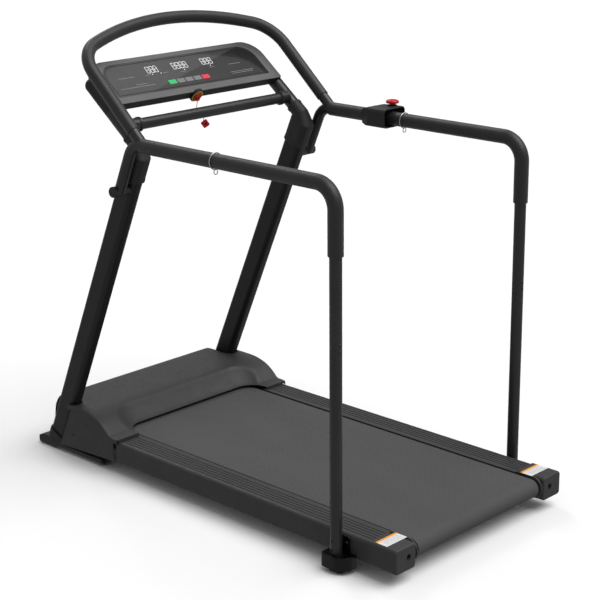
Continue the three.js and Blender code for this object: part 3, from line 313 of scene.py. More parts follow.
def circuit_board(name, color):
    """Green board with a raster of tracks and pads."""
    look = Look(name, color, 0.35)
    tracks = look.node("ShaderNodeTexBrick", {"Vector": look.place, "Scale": 60.0}).outputs["Fac"]
    look.mottle(tracks, 0.35, 0.0, 1.0)
    look.relief(tracks, 0.0002, 0.4)
    return look


PANEL_REFLECTION_SLOPE = 0.284  # how steeply the edge of the painted reflection band rises across the plate
PANEL_REFLECTION_AT = 0.0727  # its height in the middle of the plate


def gloss_plate(name, color):
    """Smoked acrylic face plate with a clear coat, faint dust and a painted reflection band."""
    look = Look(name, color, 0.16, specular=0.5)
    look.worn(look.noise(40, 5), 0.03)
    # a painted reflection divides the plate: a diagonal band, lighter towards its upper left and darker
    # beyond
    split = look.node("ShaderNodeSeparateXYZ", {0: look.place})
    above_edge = look.math("SUBTRACT", split.outputs[2], CONSOLE.translation.z)
    rise = look.math("MULTIPLY", above_edge, 1 / math.sin(CONSOLE_TILT))
    over = look.math("SUBTRACT", rise, look.math("MULTIPLY", split.outputs[0], PANEL_REFLECTION_SLOPE))
    blur = 0.0012
    reflection_band = look.span(over, PANEL_REFLECTION_AT - blur, PANEL_REFLECTION_AT + blur, 0, 1)
    # the painted reflection also grows weaker from left to right, with random tone variation on top
    reflection_fade = look.span(split.outputs[0], -0.28, 0.28, 0.5, 0)
    reflection_fade_and_haze = look.math("ADD", reflection_fade, look.math("MULTIPLY", look.noise(3, 3), 0.25))
    look.mottle(look.math("ADD", look.math("MULTIPLY", reflection_band, 0.6), reflection_fade_and_haze), 0.6, 0.1, 1.1)
    look.relief(look.noise(6, 2), 0.0002, 0.05)
    look.put("Coat Weight", 0.6)
    look.put("Coat Roughness", 0.05)
    return look


def braided(name, color):
    """Thin braided cord."""
    look = Look(name, color, 0.75)
    strands = look.noise(1.0, 2, look.stretched((1500, 1500, 500)))
    look.mottle(strands, 0.3)
    look.relief(strands, 0.0003, 0.5)
    return look


def lit_print(name, color, glow):
    """Display segments, which are lit, and printed marks with a faint painted glow, each a little brighter
    than their surroundings.
    """
    look = Look(name, color, 0.4)
    look.mottle(look.noise(400, 2), 0.06)
    look.put("Emission Color", color)
    look.put("Emission Strength", glow)
    return look


STEEL_LOOK = powder_coat("frame_steel", shade(32))
CUP_LOOK = powder_coat("cup_steel", shade(10), 0.3)
TUBE_LOOK = powder_coat("bare_tube", shade(40), 0.32, 0.55, 0.08)
UNDER_LOOK = powder_coat("under_steel", shade(28), 0.5)
PLASTIC_LOOK = moulded_plastic("black_plastic", shade(46))
DARK_LOOK = moulded_plastic("dark_plastic", shade(24), 0.6)
CAP_LOOK = moulded_plastic("cap_plastic", shade(60), 0.48)
SIDE_LOOK = moulded_plastic("side_plastic", shade(58), 0.5, 1100)
HOOD_LOOK = moulded_plastic("hood_plastic", shade(57), 0.48, 1100, 0.28)
RIB_LOOK = moulded_plastic("ribbed_plastic", shade(60), 0.5)
BEZEL_LOOK = moulded_plastic("bezel_plastic", shade(102), 0.42, 1800, 0.16)
SHELL_LOOK = moulded_plastic("shell_plastic", shade(40), 0.5)
FOAM_LOOK = foam_grip("grip_foam", shade(37))
BELT_LOOK = belt_fabric("belt_rubber", shade(80))
RUBBER_LOOK = moulded_plastic("pad_rubber", shade(30), 0.8, 700, 0.3)
DRIVE_LOOK = moulded_plastic("drive_rubber", shade(28), 0.75, 600, 0.3)
STEEL_BRIGHT = brushed_metal("bright_steel", shade(205), 0.28)
ROLLER_LOOK = brushed_metal("roller_metal", shade(190), 0.35)
MOTOR_LOOK = powder_coat("motor_steel", shade(40), 0.45)
SCREW_LOOK = powder_coat("screw_black", shade(20), 0.35, 0.6)
RED_LOOK = moulded_plastic("red_plastic", screen(205, 24, 26), 0.32, 2400, 0.08, 0.5)
CLIP_LOOK = moulded_plastic("clip_red", screen(214, 20, 22), 0.35, 2400, 0.1, 0.5)
GREEN_LOOK = moulded_plastic("green_key", screen(62, 205, 118), 0.4, 2400, 0.08)
STOP_KEY_LOOK = moulded_plastic("stop_key", screen(238, 62, 80), 0.4, 2400, 0.08)
GREY_LOOK = moulded_plastic("grey_key", shade(128), 0.45, 2400, 0.08)
YELLOW_LOOK = moulded_plastic("yellow_plastic", screen(206, 206, 40), 0.4, 2400, 0.08)
PANEL_LOOK = gloss_plate("panel_gloss", shade(66))
DIGIT_LOOK = lit_print("display_digits", shade(230), 0.7)
# printed rules on the end-cap labels and the face plate: a faint painted glow, though they are no lamp
GLOWING_MARK_LOOK = lit_print("printed_marks_glowing", shade(150), 0.05)
LABEL_LOOK = moulded_plastic("label_paper", shade(236), 0.5, 3000, 0.05)
ORANGE_LOOK = moulded_plastic("label_orange", screen(247, 160, 20), 0.5, 3000, 0.05)
CORD_LOOK = braided("lanyard_cord", screen(200, 30, 40))
WOOD_LOOK = laminated_board("deck_wood", screen(44, 38, 33))
BOARD_LOOK = circuit_board("circuit_board", screen(30, 96, 58))


# ---- mesh kit ----
def tidy(mesh):
    bm = bmesh.new()
    bm.from_mesh(mesh)
    bmesh.ops.remove_doubles(bm, verts=bm.verts, dist=1e-7)
    bmesh.ops.recalc_face_normals(bm, faces=bm.faces)
    bm.to_mesh(mesh)
    bm.free()
    return mesh


def build(points, faces):
    mesh = bpy.data.meshes.new("shape")
    mesh.from_pydata([tuple(p) for p in points], [], faces)
    return tidy(mesh)


def side_faces(a, b, count):
    """Quads between two rings of points, which start at a and at b."""
    return [(a + k, a + (k + 1) % count, b + (k + 1) % count, b + k) for k in range(count)]


def loft(rings, loop=False):
    """Skin over rings of equally many points. A loop joins the last ring to the first."""
    count = len(rings[0])
    points = [p for ring in rings for p in ring]
    faces = []
    for i in range(len(rings) if loop else len(rings) - 1):
        a = i * count
        b = ((i + 1) % len(rings)) * count
        faces += side_faces(a, b, count)
    if not loop:
        faces.append(tuple(range(count)))
        faces.append(tuple(range(len(points) - count, len(points))))
    return build(points, faces)


def circle(r, sides):
    turns = [2 * math.pi * i / sides for i in range(sides)]
    return [(r * math.cos(a), r * math.sin(a)) for a in turns]


def round_corners(corners, steps):
    """An outline round four corner circles, each a centre and a radius, from the upper right one on."""
    points = []
    for quarter, (cx, cy, r) in enumerate(corners):
        for i in range(steps + 1):
            a = (quarter + i / steps) * math.pi / 2
            points.append((cx + r * math.cos(a), cy + r * math.sin(a)))
    return points


def rounded_rect(w, h, r, cx=0.0, cy=0.0, steps=8):
    signs = ((1, 1), (-1, 1), (-1, -1), (1, -1))
    return round_corners([(cx + sx * (w / 2 - r), cy + sy * (h / 2 - r), r) for sx, sy in signs], steps)


PLACE = {
    "X": lambda u, v, w: Vector((w, u, v)),
    "Y": lambda u, v, w: Vector((u, w, v)),
    "Z": lambda u, v, w: Vector((u, v, w)),
}


def prism(outlines, start, end, along="Z", edge=0.0, steps=3, matrix=None):
    """A solid between start and end along an axis. The first outline is its rim, and the rest are holes."""
    place = PLACE[along]
    flat = [p for points in outlines for p in points]
    points = [place(u, v, w) for w in (start, end) for u, v in flat]
    total = len(flat)
    faces = []
    for a, b, c in tessellate_polygon([[Vector((u, v, 0)) for u, v in outline] for outline in outlines]):
        faces.append((a, b, c))
        faces.append((a + total, b + total, c + total))
    first = 0
    for outline in outlines:
        faces += side_faces(first, first + total, len(outline))
        first += len(outline)
    mesh = soften(build(points, faces), edge, steps)
    if matrix is not None:
        mesh.transform(matrix)
    return mesh


def soften(mesh, width, steps=3, angle=35):
    """Rounds every edge that is sharper than the angle."""
    bm = bmesh.new()
    bm.from_mesh(mesh)
    bmesh.ops.dissolve_limit(bm, angle_limit=0.002, verts=bm.verts, edges=bm.edges)
    if width > 0:
        sharp = [e for e in bm.edges if e.is_manifold and e.calc_face_angle(0) > math.radians(angle)]
        bmesh.ops.bevel(
            bm,
            geom=sharp,
            offset=width,
            segments=steps,
            profile=0.5,
            affect="EDGES",
            clamp_overlap=True,
        )
    bm.to_mesh(mesh)
    bm.free()
    return mesh


def lathe(profile, matrix=None, sides=48, loop=False):
    """A profile of (radius, height) turned about the matrix's Z axis."""
    matrix = matrix or Matrix()
    rings = [[matrix @ Vector((u, v, h)) for u, v in circle(r, sides)] for r, h in profile]
    return loft(rings, loop)


def rod(r, start, end, matrix, sides=48):
    """A plain cylinder about the matrix's Z axis, between two heights."""
    return lathe([(0, start), (r, start), (r, end), (0, end)], matrix, sides)


def rounded_edge(r, steps=6):
    """The inset and the advance at each step of a quarter round, up to the full size."""
    turns = [math.pi / 2 * k / steps for k in range(steps + 1)]
    return [(r * (1 - math.sin(a)), r * (1 - math.cos(a))) for a in turns]


def aim(origin, direction):
    """Places a shape at origin with its Z axis along direction."""
    return Matrix.Translation(origin) @ Vector(direction).to_track_quat("Z", "Y").to_matrix().to_4x4()


def bent_path(corners, radii, steps=14):
    """Straight runs between corners, with each inner corner rounded to its radius."""
    stations = [corners[0]]
    for before, corner, after, r in zip(corners, corners[1:], corners[2:], radii):
        back = (before - corner).normalized()
        ahead = (after - corner).normalized()
        half = back.angle(ahead) / 2
        centre = corner + (back + ahead).normalized() * (r / math.sin(half))
        arm = corner + back * (r / math.tan(half)) - centre
        axis = ahead.cross(back).normalized()
        for k in range(steps + 1):
            turn = (math.pi - 2 * half) * k / steps
            stations.append(centre + Matrix.Rotation(turn, 3, axis) @ arm)
    stations.append(corners[-1])
    return stations


def stand(stations, normal):
    """Each station with its direction and the two directions across it."""
    last = len(stations) - 1
    frames = []
    for i, place in enumerate(stations):
        along = (stations[min(i + 1, last)] - stations[max(i - 1, 0)]).normalized()
        side = normal.cross(along).normalized()
        frames.append((place, along, side, along.cross(side)))
    return frames


def tube(stations, normal, outer, inner, rounding=0.0006, sides=40):
    """A round tube along a path that lies in one plane, with rounded rims."""
    frames = stand(stations, normal)

    def ring(frame_at, r, shift=0.0):
        place, along, side, up = frame_at
        return [place + along * shift + side * u + up * v for u, v in circle(r, sides)]

    bends = [(shift, outer - inset) for inset, shift in rounded_edge(rounding, 4)]
    rings = [ring(frames[0], r, shift) for shift, r in bends]
    rings += [ring(f, outer) for f in frames[1:-1]]
    rings += [ring(frames[-1], r, -shift) for shift, r in reversed(bends)]
    rings += [ring(f, inner) for f in reversed(frames)]
    return loft(rings, loop=True)


def bar(start, end, section, inner=None):
    """A straight bar of a fore-and-aft by across section, standing square to its own axis."""
    frames = stand([start, end], X)

    def ring(frame_at, outline):
        place, _, side, up = frame_at
        return [place + side * u + up * v for u, v in outline]

    rings = [ring(f, section) for f in frames]
    if inner is None:
        return loft(rings)
    return loft(rings + [ring(f, inner) for f in reversed(frames)], loop=True)


def new_mesh(bm):
    mesh = bpy.data.meshes.new("shape")
    bm.to_mesh(mesh)
    bm.free()
    return mesh
def baked(thing):
    """The mesh with its modifiers applied."""
    graph = bpy.context.evaluated_depsgraph_get()
    mesh = bpy.data.meshes.new_from_object(thing.evaluated_get(graph))
    bpy.data.objects.remove(thing)
    return mesh


def carve(mesh, *cutters, operation="DIFFERENCE"):
    thing = add_object("work", mesh)
    tools = [add_object("work", cutter) for cutter in cutters]
    for cutter in tools:
        modifier = thing.modifiers.new("cut", "BOOLEAN")
        modifier.operation = operation
        modifier.solver = "EXACT"
        modifier.object = cutter
    done = baked(thing)
    for cutter in tools:
        bpy.data.objects.remove(cutter)
    return done


def moulded(mesh, voxel=0.0015, smoothing=8):
    """Melts joined shapes into one skin with soft fillets."""
    thing = add_object("work", mesh)
    remesh = thing.modifiers.new("skin", "REMESH")
    remesh.mode = "VOXEL"
    remesh.voxel_size = voxel
    smooth = thing.modifiers.new("fillets", "SMOOTH")
    smooth.factor = 0.5
    smooth.iterations = smoothing
    return baked(thing)


def wrapped(*meshes):
    """The tightest skin round several shapes."""
    bm = bmesh.new()
    for mesh in meshes:
        bm.from_mesh(mesh)
    found = bmesh.ops.convex_hull(bm, input=bm.verts)
    inside = {v for v in found["geom_interior"] + found["geom_unused"] if isinstance(v, bmesh.types.BMVert)}
    bmesh.ops.delete(bm, geom=list(inside), context="VERTS")
    skin = {f for f in found["geom"] if isinstance(f, bmesh.types.BMFace)}
    bmesh.ops.delete(bm, geom=[f for f in bm.faces if f not in skin], context="FACES_ONLY")
    return new_mesh(bm)


def merged(*meshes):
    bm = bmesh.new()
    for mesh in meshes:
        bm.from_mesh(mesh)
    return new_mesh(bm)


def mirrored(mesh):
    copy = mesh.copy()
    copy.transform(Matrix.Scale(-1, 4, X))
    copy.flip_normals()
    return copy


def piece(name, mesh, look, nodes=(), body="machine", sharp=38):
    """Adds a finished piece: smooth faces, its material, its body and the nodes that it stands for."""
    mesh.materials.clear()
    mesh.materials.append(look.material)
    mesh.shade_smooth()
    mesh.set_sharp_from_angle(angle=math.radians(sharp))
    thing = add_object(name, mesh)
    modifier = thing.modifiers.new("even_shading", "WEIGHTED_NORMAL")
    modifier.keep_sharp = True
    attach(thing, body)
    if nodes:
        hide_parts(*nodes)
    return thing


def pair(name, mesh, look, nodes=(), body="machine", sharp=38):
    """The right-hand piece as drawn, and its mirror image on the left."""
    other = mirrored(mesh)
    for side, shape in (("right", mesh), ("left", other)):
        stands_for = [f"{node}_{side}" for node in nodes]
        rides_on = body if body == "machine" else f"{body}_{side}"
        piece(f"{name}_{side}", shape, look, stands_for, rides_on, sharp)


def button_head(place, direction, r=0.0042):
    """A low round screw head with a hexagon socket."""
    steps = 6
    dome = 0.72  # share of a quarter turn
    flatness = 0.55
    rim = []
    for k in range(steps + 1):
        a = math.pi / 2 * k / steps * dome
        rim.append((r * math.cos(a), flatness * r * math.sin(a)))
    matrix = aim(place, direction)
    head = lathe([(0, -0.001), (r, -0.001), *rim, (0, rim[-1][1])], matrix, 28)
    return carve(head, rod(0.55 * r, 0.1 * r, r, matrix, 6))


# ---- lanyard: the object's only free cord, before the rest ----
LANYARD_R = 0.001
LANYARD_Y = 0.3253
LANYARD_ROUTE = [(x, LANYARD_Y, z) for x, z in (
    (-0.015, 1.0574), (-0.0153, 1.054), (-0.0161, 1.05), (-0.0171, 1.046), (-0.0179, 1.042),
    (-0.0182, 1.038), (-0.0177, 1.034), (-0.0164, 1.0302), (-0.0141, 1.0266), (-0.011, 1.0234),
    (-0.0073, 1.0204), (-0.0032, 1.0174), (0.0008, 1.0143), (0.0043, 1.011), (0.007, 1.0074),
    (0.0085, 1.0038), (0.0088, 1.0006),
)]


def make_lanyard(clip):
    curve = bpy.data.curves.new("lanyard", "CURVE")
    curve.dimensions = "3D"
    curve.bevel_depth = LANYARD_R
    curve.bevel_resolution = 3
    curve.resolution_u = 6
    curve.use_fill_caps = True
    spline = curve.splines.new("BEZIER")
    spline.bezier_points.add(len(LANYARD_ROUTE) - 1)
    for point, place in zip(spline.bezier_points, LANYARD_ROUTE):
        point.co = place
        point.handle_left_type = "AUTO"
        point.handle_right_type = "AUTO"
    cord = add_object("lanyard", curve)
    curve.materials.append(CORD_LOOK.material)
    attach(cord, "safety_key")
    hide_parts("key_lanyard")


CLIP_SIDE = 0.0195
CLIP_HALF = 0.004
CLIP_CENTRE = Vector((0.014, LANYARD_Y, 0.9889))


def make_clip():
    """A square clip, hung by one side, with a spring lever in its middle."""
    turn = Matrix.Rotation(math.radians(-46), 4, "Z") @ Matrix.Rotation(math.radians(-35), 4, "Y")
    matrix = Matrix.Translation(CLIP_CENTRE) @ turn
    slot_at = (0.0012, -0.0008)
    rim = rounded_rect(CLIP_SIDE, CLIP_SIDE, 0.003)
    slot = rounded_rect(0.0075, 0.005, 0.0015, *slot_at)
    plate = prism([rim, slot], -CLIP_HALF, CLIP_HALF, "Y", 0.0012, 3, matrix)
    profile = [(0, -0.0075), (0.0024, -0.0075), (0.0024, -0.0008), (0.0018, -GAP), (0, -GAP)]
    collar = lathe(profile, Matrix.Translation(LANYARD_ROUTE[-1]), 20)
    clip = piece("lanyard_clip", merged(plate, collar), CLIP_LOOK, ["key_clip"], "safety_key")
    filling = rounded_rect(0.0072, 0.0047, 0.0013, *slot_at)
    lever = prism([filling], -0.0026, 0.0026, "Y", 0.0006, 2, matrix)
    piece("lanyard_clip_lever", lever, DARK_LOOK, (), "safety_key")
    return clip


make_lanyard(make_clip())


# ---- belt, foot rails and end caps ----
def make_belt():
    """The belt's closed run round both rollers, with its length along the run as a texture coordinate."""
    width = BELT_HIGH.x
    outer = (BELT_HIGH.z - BELT_LOW.z) / 2
    thick = 0.0022
    rear_y = BELT_LOW.y + outer
    front_y = BELT_HIGH.y - outer
    edge = 0.0007
    section = [(-width + edge, 0), (width - edge, 0), (width, -edge), (width, edge - thick)]
    section += [(width - edge, -thick), (-width + edge, -thick), (-width, edge - thick), (-width, -edge)]
    bend_steps = 28
    flat_steps = 24
    line = []
    for near, far, top in ((front_y, rear_y, 1), (rear_y, front_y, -1)):
        for i in range(bend_steps + 1):
            a = -top * math.pi / 2 + math.pi * i / bend_steps
            line.append((near, math.cos(a), math.sin(a)))
        for i in range(1, flat_steps):
            line.append((near + (far - near) * i / flat_steps, 0, top))
    rings = []
    run = [0.0]
    for y, dy, dz in line:
        rings.append([Vector((x, y + dy * (outer + h), AXLE_Z + dz * (outer + h))) for x, h in section])
        if len(rings) > 1:
            run.append(run[-1] + (rings[-1][0] - rings[-2][0]).length)
    whole = run[-1] + (rings[0][0] - rings[-1][0]).length
    mesh = loft(rings, loop=True)
    layer = mesh.uv_layers.new(name="run")
    count = len(section)
    last = len(rings) - 1
    for polygon in mesh.polygons:
        stations = [mesh.loops[i].vertex_index // count for i in polygon.loop_indices]
        wraps = 0 in stations and last in stations
        for i, station in zip(polygon.loop_indices, stations):
            along = whole if wraps and station == 0 else run[station]
            layer.data[i].uv = (mesh.vertices[mesh.loops[i].vertex_index].co.x, along)
    piece("walking_belt_fabric", mesh, BELT_LOOK, ["walking_belt"])


def rail_outline(lo, hi):
    """Flat inner band, ribs, rounded outer shoulder and a smooth side wall, in (x, z)."""
    rib_count = 5
    shoulder = 0.012
    groove = 0.0016
    groove_w = 0.0026
    soft = 0.0007
    outline = [(lo.x, hi.z - 0.0075), (lo.x, hi.z - 0.0009), (lo.x + 0.0009, hi.z)]
    first = lo.x + 0.02
    pitch = (hi.x - shoulder - 0.006 - first) / (rib_count - 1)
    for i in range(rib_count):
        x = first + i * pitch
        outline += [(x - groove_w / 2 - soft, hi.z), (x - groove_w / 2, hi.z - soft)]
        outline += [(x - groove_w / 2 + 0.0003, hi.z - groove), (x + groove_w / 2 - 0.0003, hi.z - groove)]
        outline += [(x + groove_w / 2, hi.z - soft), (x + groove_w / 2 + soft, hi.z)]
    centre_x = hi.x - shoulder
    centre_z = hi.z - shoulder
    for i in range(9):
        a = math.pi / 2 * (1 - i / 8)
        outline.append((centre_x + shoulder * math.cos(a), centre_z + shoulder * math.sin(a)))
    outline += [(hi.x, lo.z + 0.001), (hi.x - 0.001, lo.z), (hi.x - WALL, lo.z)]
    outline += [(hi.x - WALL, hi.z - 0.018), (hi.x - 0.014, hi.z - 0.0065)]
    return outline


def make_rails():
    lo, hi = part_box("side_rail_right")
    mesh = prism([rail_outline(lo, hi)], lo.y, hi.y, "Y")
    pair("foot_rail", mesh, RIB_LOOK, ["side_rail"], sharp=25)


def make_end_caps():
    """Moulded corner boxes with a curved guard beside the belt and a hole for the tension bolt."""
    lo, hi = CAP_LOW, CAP_HIGH
    body_in = lo.x + 0.009
    corner = 0.0105
    w = hi.x - body_in
    h = hi.z - lo.z
    cx = (hi.x + body_in) / 2
    cz = (hi.z + lo.z) / 2
    rings = []
    for inset, shift in rounded_edge(0.006):
        outline = rounded_rect(w - 2 * inset, h - 2 * inset, corner - inset, cx, cz)
        rings.append([Vector((x, lo.y + shift, z)) for x, z in outline])
    outline = rounded_rect(w, h, corner, cx, cz)
    rings.append([Vector((x, hi.y, z)) for x, z in outline])
    inside = rounded_rect(w - 2 * WALL, h - 2 * WALL, corner - WALL, cx, cz)
    hollow = prism([inside], lo.y + 0.005, hi.y + 0.01, "Y")
    hole_r = 0.0062
    bolt_hole = rod(hole_r, 0, 0.03, aim((BOLT.x, lo.y - 0.01, AXLE_Z), Y), 32)
    body = carve(loft(rings), hollow, bolt_hole)
    guard_r = 0.031
    axle_y = lo.y + guard_r

    def guard(start, end, inset, edge):
        r = guard_r - inset
        top = hi.z - inset
        bottom = AXLE_Z - guard_r + inset
        points = [(hi.y, bottom), (hi.y, top), (axle_y, top)]
        for i in range(1, 17):
            a = math.pi / 2 + math.pi * i / 16
            points.append((axle_y + r * math.cos(a), AXLE_Z + r * math.sin(a)))
        return prism([points], start, end, "X", edge)

    flange = guard(lo.x, lo.x + 0.0055, 0.0, 0.0012)
    neck = guard(lo.x + 0.005, body_in + 0.001, 0.0035, 0.0)
    ring = [(hole_r, -0.002), (0.0088, -0.002), (0.0088, 0.0004), (0.0082, 0.0009)]
    ring += [(0.0068, 0.0009), (hole_r, 0.0002)]
    collar = lathe(ring, aim((BOLT.x, lo.y + 0.0009, AXLE_Z), -Y), 32, loop=True)
    pair("corner_cap", merged(body, flange, neck, collar), CAP_LOOK, ["end_cap"])


def make_labels():
    """A paper label on each end cap, with an orange band and plain rules in place of its text."""
    start = -0.685
    end = -0.646
    strip = 0.007
    inner = CAP_LOW.x + 0.002
    outer = CAP_HIGH.x - 0.008
    width = outer - inner
    cx = (inner + outer) / 2
    cap_top = CAP_HIGH.z
    paper_top = cap_top + 0.0001
    paper = rounded_rect(width, end - start, 0.001, cx, (start + end) / 2)
    pair("label", prism([paper], cap_top - 0.0002, paper_top), LABEL_LOOK)
    rules = []
    for k in range(5):
        long = 0.062 if k % 2 else 0.07
        line = rounded_rect(long, 0.001, 0.0004, cx, start + 0.005 + 0.0055 * k, 2)
        rules.append(prism([line], cap_top - 0.0001, paper_top + 0.00015))
    pair("label_rules", merged(*rules), GLOWING_MARK_LOOK)
    band = rounded_rect(width, strip, 0.001, cx, end - strip / 2)
    pair("label_band", prism([band], cap_top - 0.0001, paper_top + 0.0002), ORANGE_LOOK)


def make_tension_bolts():
    lo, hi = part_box("tension_bolt_right")
    length = hi.y - lo.y
    head_r = 0.0055
    shank_r = 0.0034
    profile = [(0, 0), (head_r - 0.0006, 0), (head_r, 0.0006), (head_r, 0.007), (shank_r, 0.007)]
    profile += [(shank_r, length), (0, length)]
    matrix = aim((BOLT.x, lo.y, AXLE_Z), Y)
    mesh = carve(lathe(profile, matrix, 32), rod(0.0031, -0.001, 0.004, matrix, 6))
    pair("tension_screw", mesh, STEEL_BRIGHT, ["tension_bolt"], "tension_bolt")


make_belt()
make_rails()
make_end_caps()
make_labels()
make_tension_bolts()


# ---- motor cover ----
HOOD_PROFILE = [
    (0.342, 0.1085), (0.376, 0.11), (0.388, 0.119), (0.402, 0.131), (0.415, 0.14), (0.428, 0.147),
    (0.445, 0.153), (0.46, 0.157), (0.478, 0.16), (0.5, 0.1615), (0.56, 0.1625), (0.62, 0.163),
    (0.642, 0.162), (0.657, 0.158), (0.672, 0.149), (0.686, 0.132), (0.697, 0.105), (0.706, 0.028),
]
RECESS_HALF = 0.266
RECESS_CORNER = 0.06
RECESS_REAR_Y = 0.345
RECESS_Y = 0.41
LIP_Z = 0.108
RECESS_RUN = 0.054
RECESS_RISE = 0.052
RIDGE_Y = 0.6
HOOD_HALF = 0.352
RECESS_STRAIGHT = RECESS_HALF - RECESS_CORNER
RECESS_REACH = RECESS_Y - RECESS_REAR_Y


def smooth_profile(t):
    """A Catmull-Rom point on the cover's side outline, t counted in profile points."""
    last = len(HOOD_PROFILE) - 1
    i = min(int(t), last - 1)
    u = t - i
    p0, p1, p2, p3 = (Vector(HOOD_PROFILE[min(max(k, 0), last)]) for k in (i - 1, i, i + 1, i + 2))
    square = (2 * p0 - 5 * p1 + 4 * p2 - p3) * u * u
    cube = (3 * p1 - p0 - 3 * p2 + p3) * u ** 3
    return 0.5 * (2 * p1 + (p2 - p0) * u + square + cube)


PROFILE_STEPS = 12
PROFILE_END = PROFILE_STEPS * (len(HOOD_PROFILE) - 1)
PROFILE_LINE = [smooth_profile(k / PROFILE_STEPS) for k in range(PROFILE_END + 1)]


def profile_height(y):
    for a, b in zip(PROFILE_LINE, PROFILE_LINE[1:]):
        if b.x >= y:
            return a.y + (b.y - a.y) * (y - a.x) / (b.x - a.x)
    return PROFILE_LINE[-1].y


def recess_edge(x):
    """Plan view of the edge over the belt: straight across the belt, rounded back to the wings."""
    side = abs(x)
    if side >= RECESS_HALF:
        return RECESS_REAR_Y
    if side <= RECESS_STRAIGHT:
        return RECESS_Y
    reach = (side - RECESS_STRAIGHT) / RECESS_CORNER
    return RECESS_REAR_Y + RECESS_REACH * math.sqrt(1 - reach * reach)


RECESS_ARC = [
    (RECESS_STRAIGHT + RECESS_CORNER * math.sin(a), RECESS_REAR_Y + RECESS_REACH * math.cos(a))
    for a in (math.pi / 2 * i / 40 for i in range(41))
]


def distance_to_edge(x, y):
    nearest = min(math.hypot(abs(x) - ex, y - ey) for ex, ey in RECESS_ARC)
    return max(min(nearest, y - recess_edge(x)), 0)


def soft_min(a, b, reach):
    share = max(reach - abs(a - b), 0) / reach
    return min(a, b) - share * share * reach / 4


def hood_height(x, y):
    ramp = LIP_Z + RECESS_RISE * (distance_to_edge(x, y) / RECESS_RUN) ** 1.35
    height = soft_min(profile_height(y), ramp, 0.002)
    # a shallow scoop runs down the cover behind each upright
    scoop = math.exp(-(((abs(x) - UPRIGHT_X) / 0.021) ** 2)) * min(max((y - 0.49) / 0.09, 0), 1)
    height -= 0.003 * scoop
    edge = HOOD_HALF - abs(x)
    turn = 0.006
    if edge < turn:
        height -= turn - math.sqrt(turn ** 2 - (turn - edge) ** 2)
    return height


def hood_columns():
    """Stations across the cover: closer together round the recess and at the outer edge."""
    straight = [0.04 * i for i in range(6)]
    bend = [RECESS_STRAIGHT + RECESS_CORNER * math.sin(math.pi / 2 * i / 12) for i in range(13)]
    wing = [0.272, 0.28, 0.288, 0.296, 0.304, 0.312, 0.32, 0.328, 0.336]
    wing += [0.342, 0.346, 0.3485, 0.3505, 0.3516, HOOD_HALF]
    right = straight[1:] + bend + wing
    return [-x for x in reversed(right)] + [0.0] + right


def on_upright(z, x=UPRIGHT_X):
    """The point at this height on the right upright's axis, or beside it."""
    return Vector((x, UPRIGHT_FOOT_Y - UPRIGHT_LEAN * z, z))


def upright_bar(grow, z0, z1, inner=False):
    """A bar on the right upright's axis, its section grown all round, between two heights."""
    section = rounded_rect(UPRIGHT_D + 2 * grow, UPRIGHT_W + 2 * grow, UPRIGHT_CORNER + grow)
    hollow = rounded_rect(UPRIGHT_D - 2 * TUBE_WALL, UPRIGHT_W - 2 * TUBE_WALL, UPRIGHT_CORNER - TUBE_WALL)
    return bar(on_upright(z0), on_upright(z1), section, hollow if inner else None)


def upright_sleeve(z0, z1, more=0.0):
    """A sleeve's outside round the right upright, further off its sides than off its front and back."""
    section = rounded_rect(UPRIGHT_D + 0.006 + more, UPRIGHT_W + 0.012 + more, 0.02 + more / 2)
    return bar(on_upright(z0), on_upright(z1), section)


def box_mesh(x0, x1, y0, y1, z0, z1, edge=0.0):
    return prism([[(x0, y0), (x1, y0), (x1, y1), (x0, y1)]], z0, z1, "Z", edge)


def both(mesh):
    return [mesh, mirrored(mesh)]


INLET = middle("power_inlet")
ROCKER = middle("rocker_switch")


def hood_grid():
    """Rows of points over the cover, from the edge over the belt down to the floor in front."""
    columns = hood_columns()
    rows = 30
    skirt = 0.007
    grid = []
    for r in range(rows + 1):
        line = []
        for x in columns:
            y = recess_edge(x) + (RIDGE_Y - recess_edge(x)) * r / rows
            line.append(Vector((x, y, hood_height(x, y))))
        grid.append(line)
    for point in PROFILE_LINE:
        if point.x > RIDGE_Y + 0.001:
            grid.append([Vector((x, point.x, point.y)) for x in columns])
    for line in grid:
        line.insert(0, line[0] - Z * skirt)
        line.append(line[-1] - Z * skirt)
    grid.insert(0, [p - Z * 0.0015 - Y * 0.0005 for p in grid[0]])
    return grid


def hood_skin():
    """The cover's surface with its wall inside it."""
    grid = hood_grid()
    count = len(grid[0])
    faces = []
    for r in range(len(grid) - 1):
        for c in range(count - 1):
            a = r * count + c
            faces.append((a, a + 1, a + count + 1, a + count))
    mesh = bpy.data.meshes.new("hood")
    mesh.from_pydata([tuple(p) for line in grid for p in line], [], faces)
    thing = add_object("work", mesh)
    solid = thing.modifiers.new("skin", "SOLIDIFY")
    solid.thickness = WALL
    solid.offset = -1
    solid.use_even_offset = True
    return baked(thing)


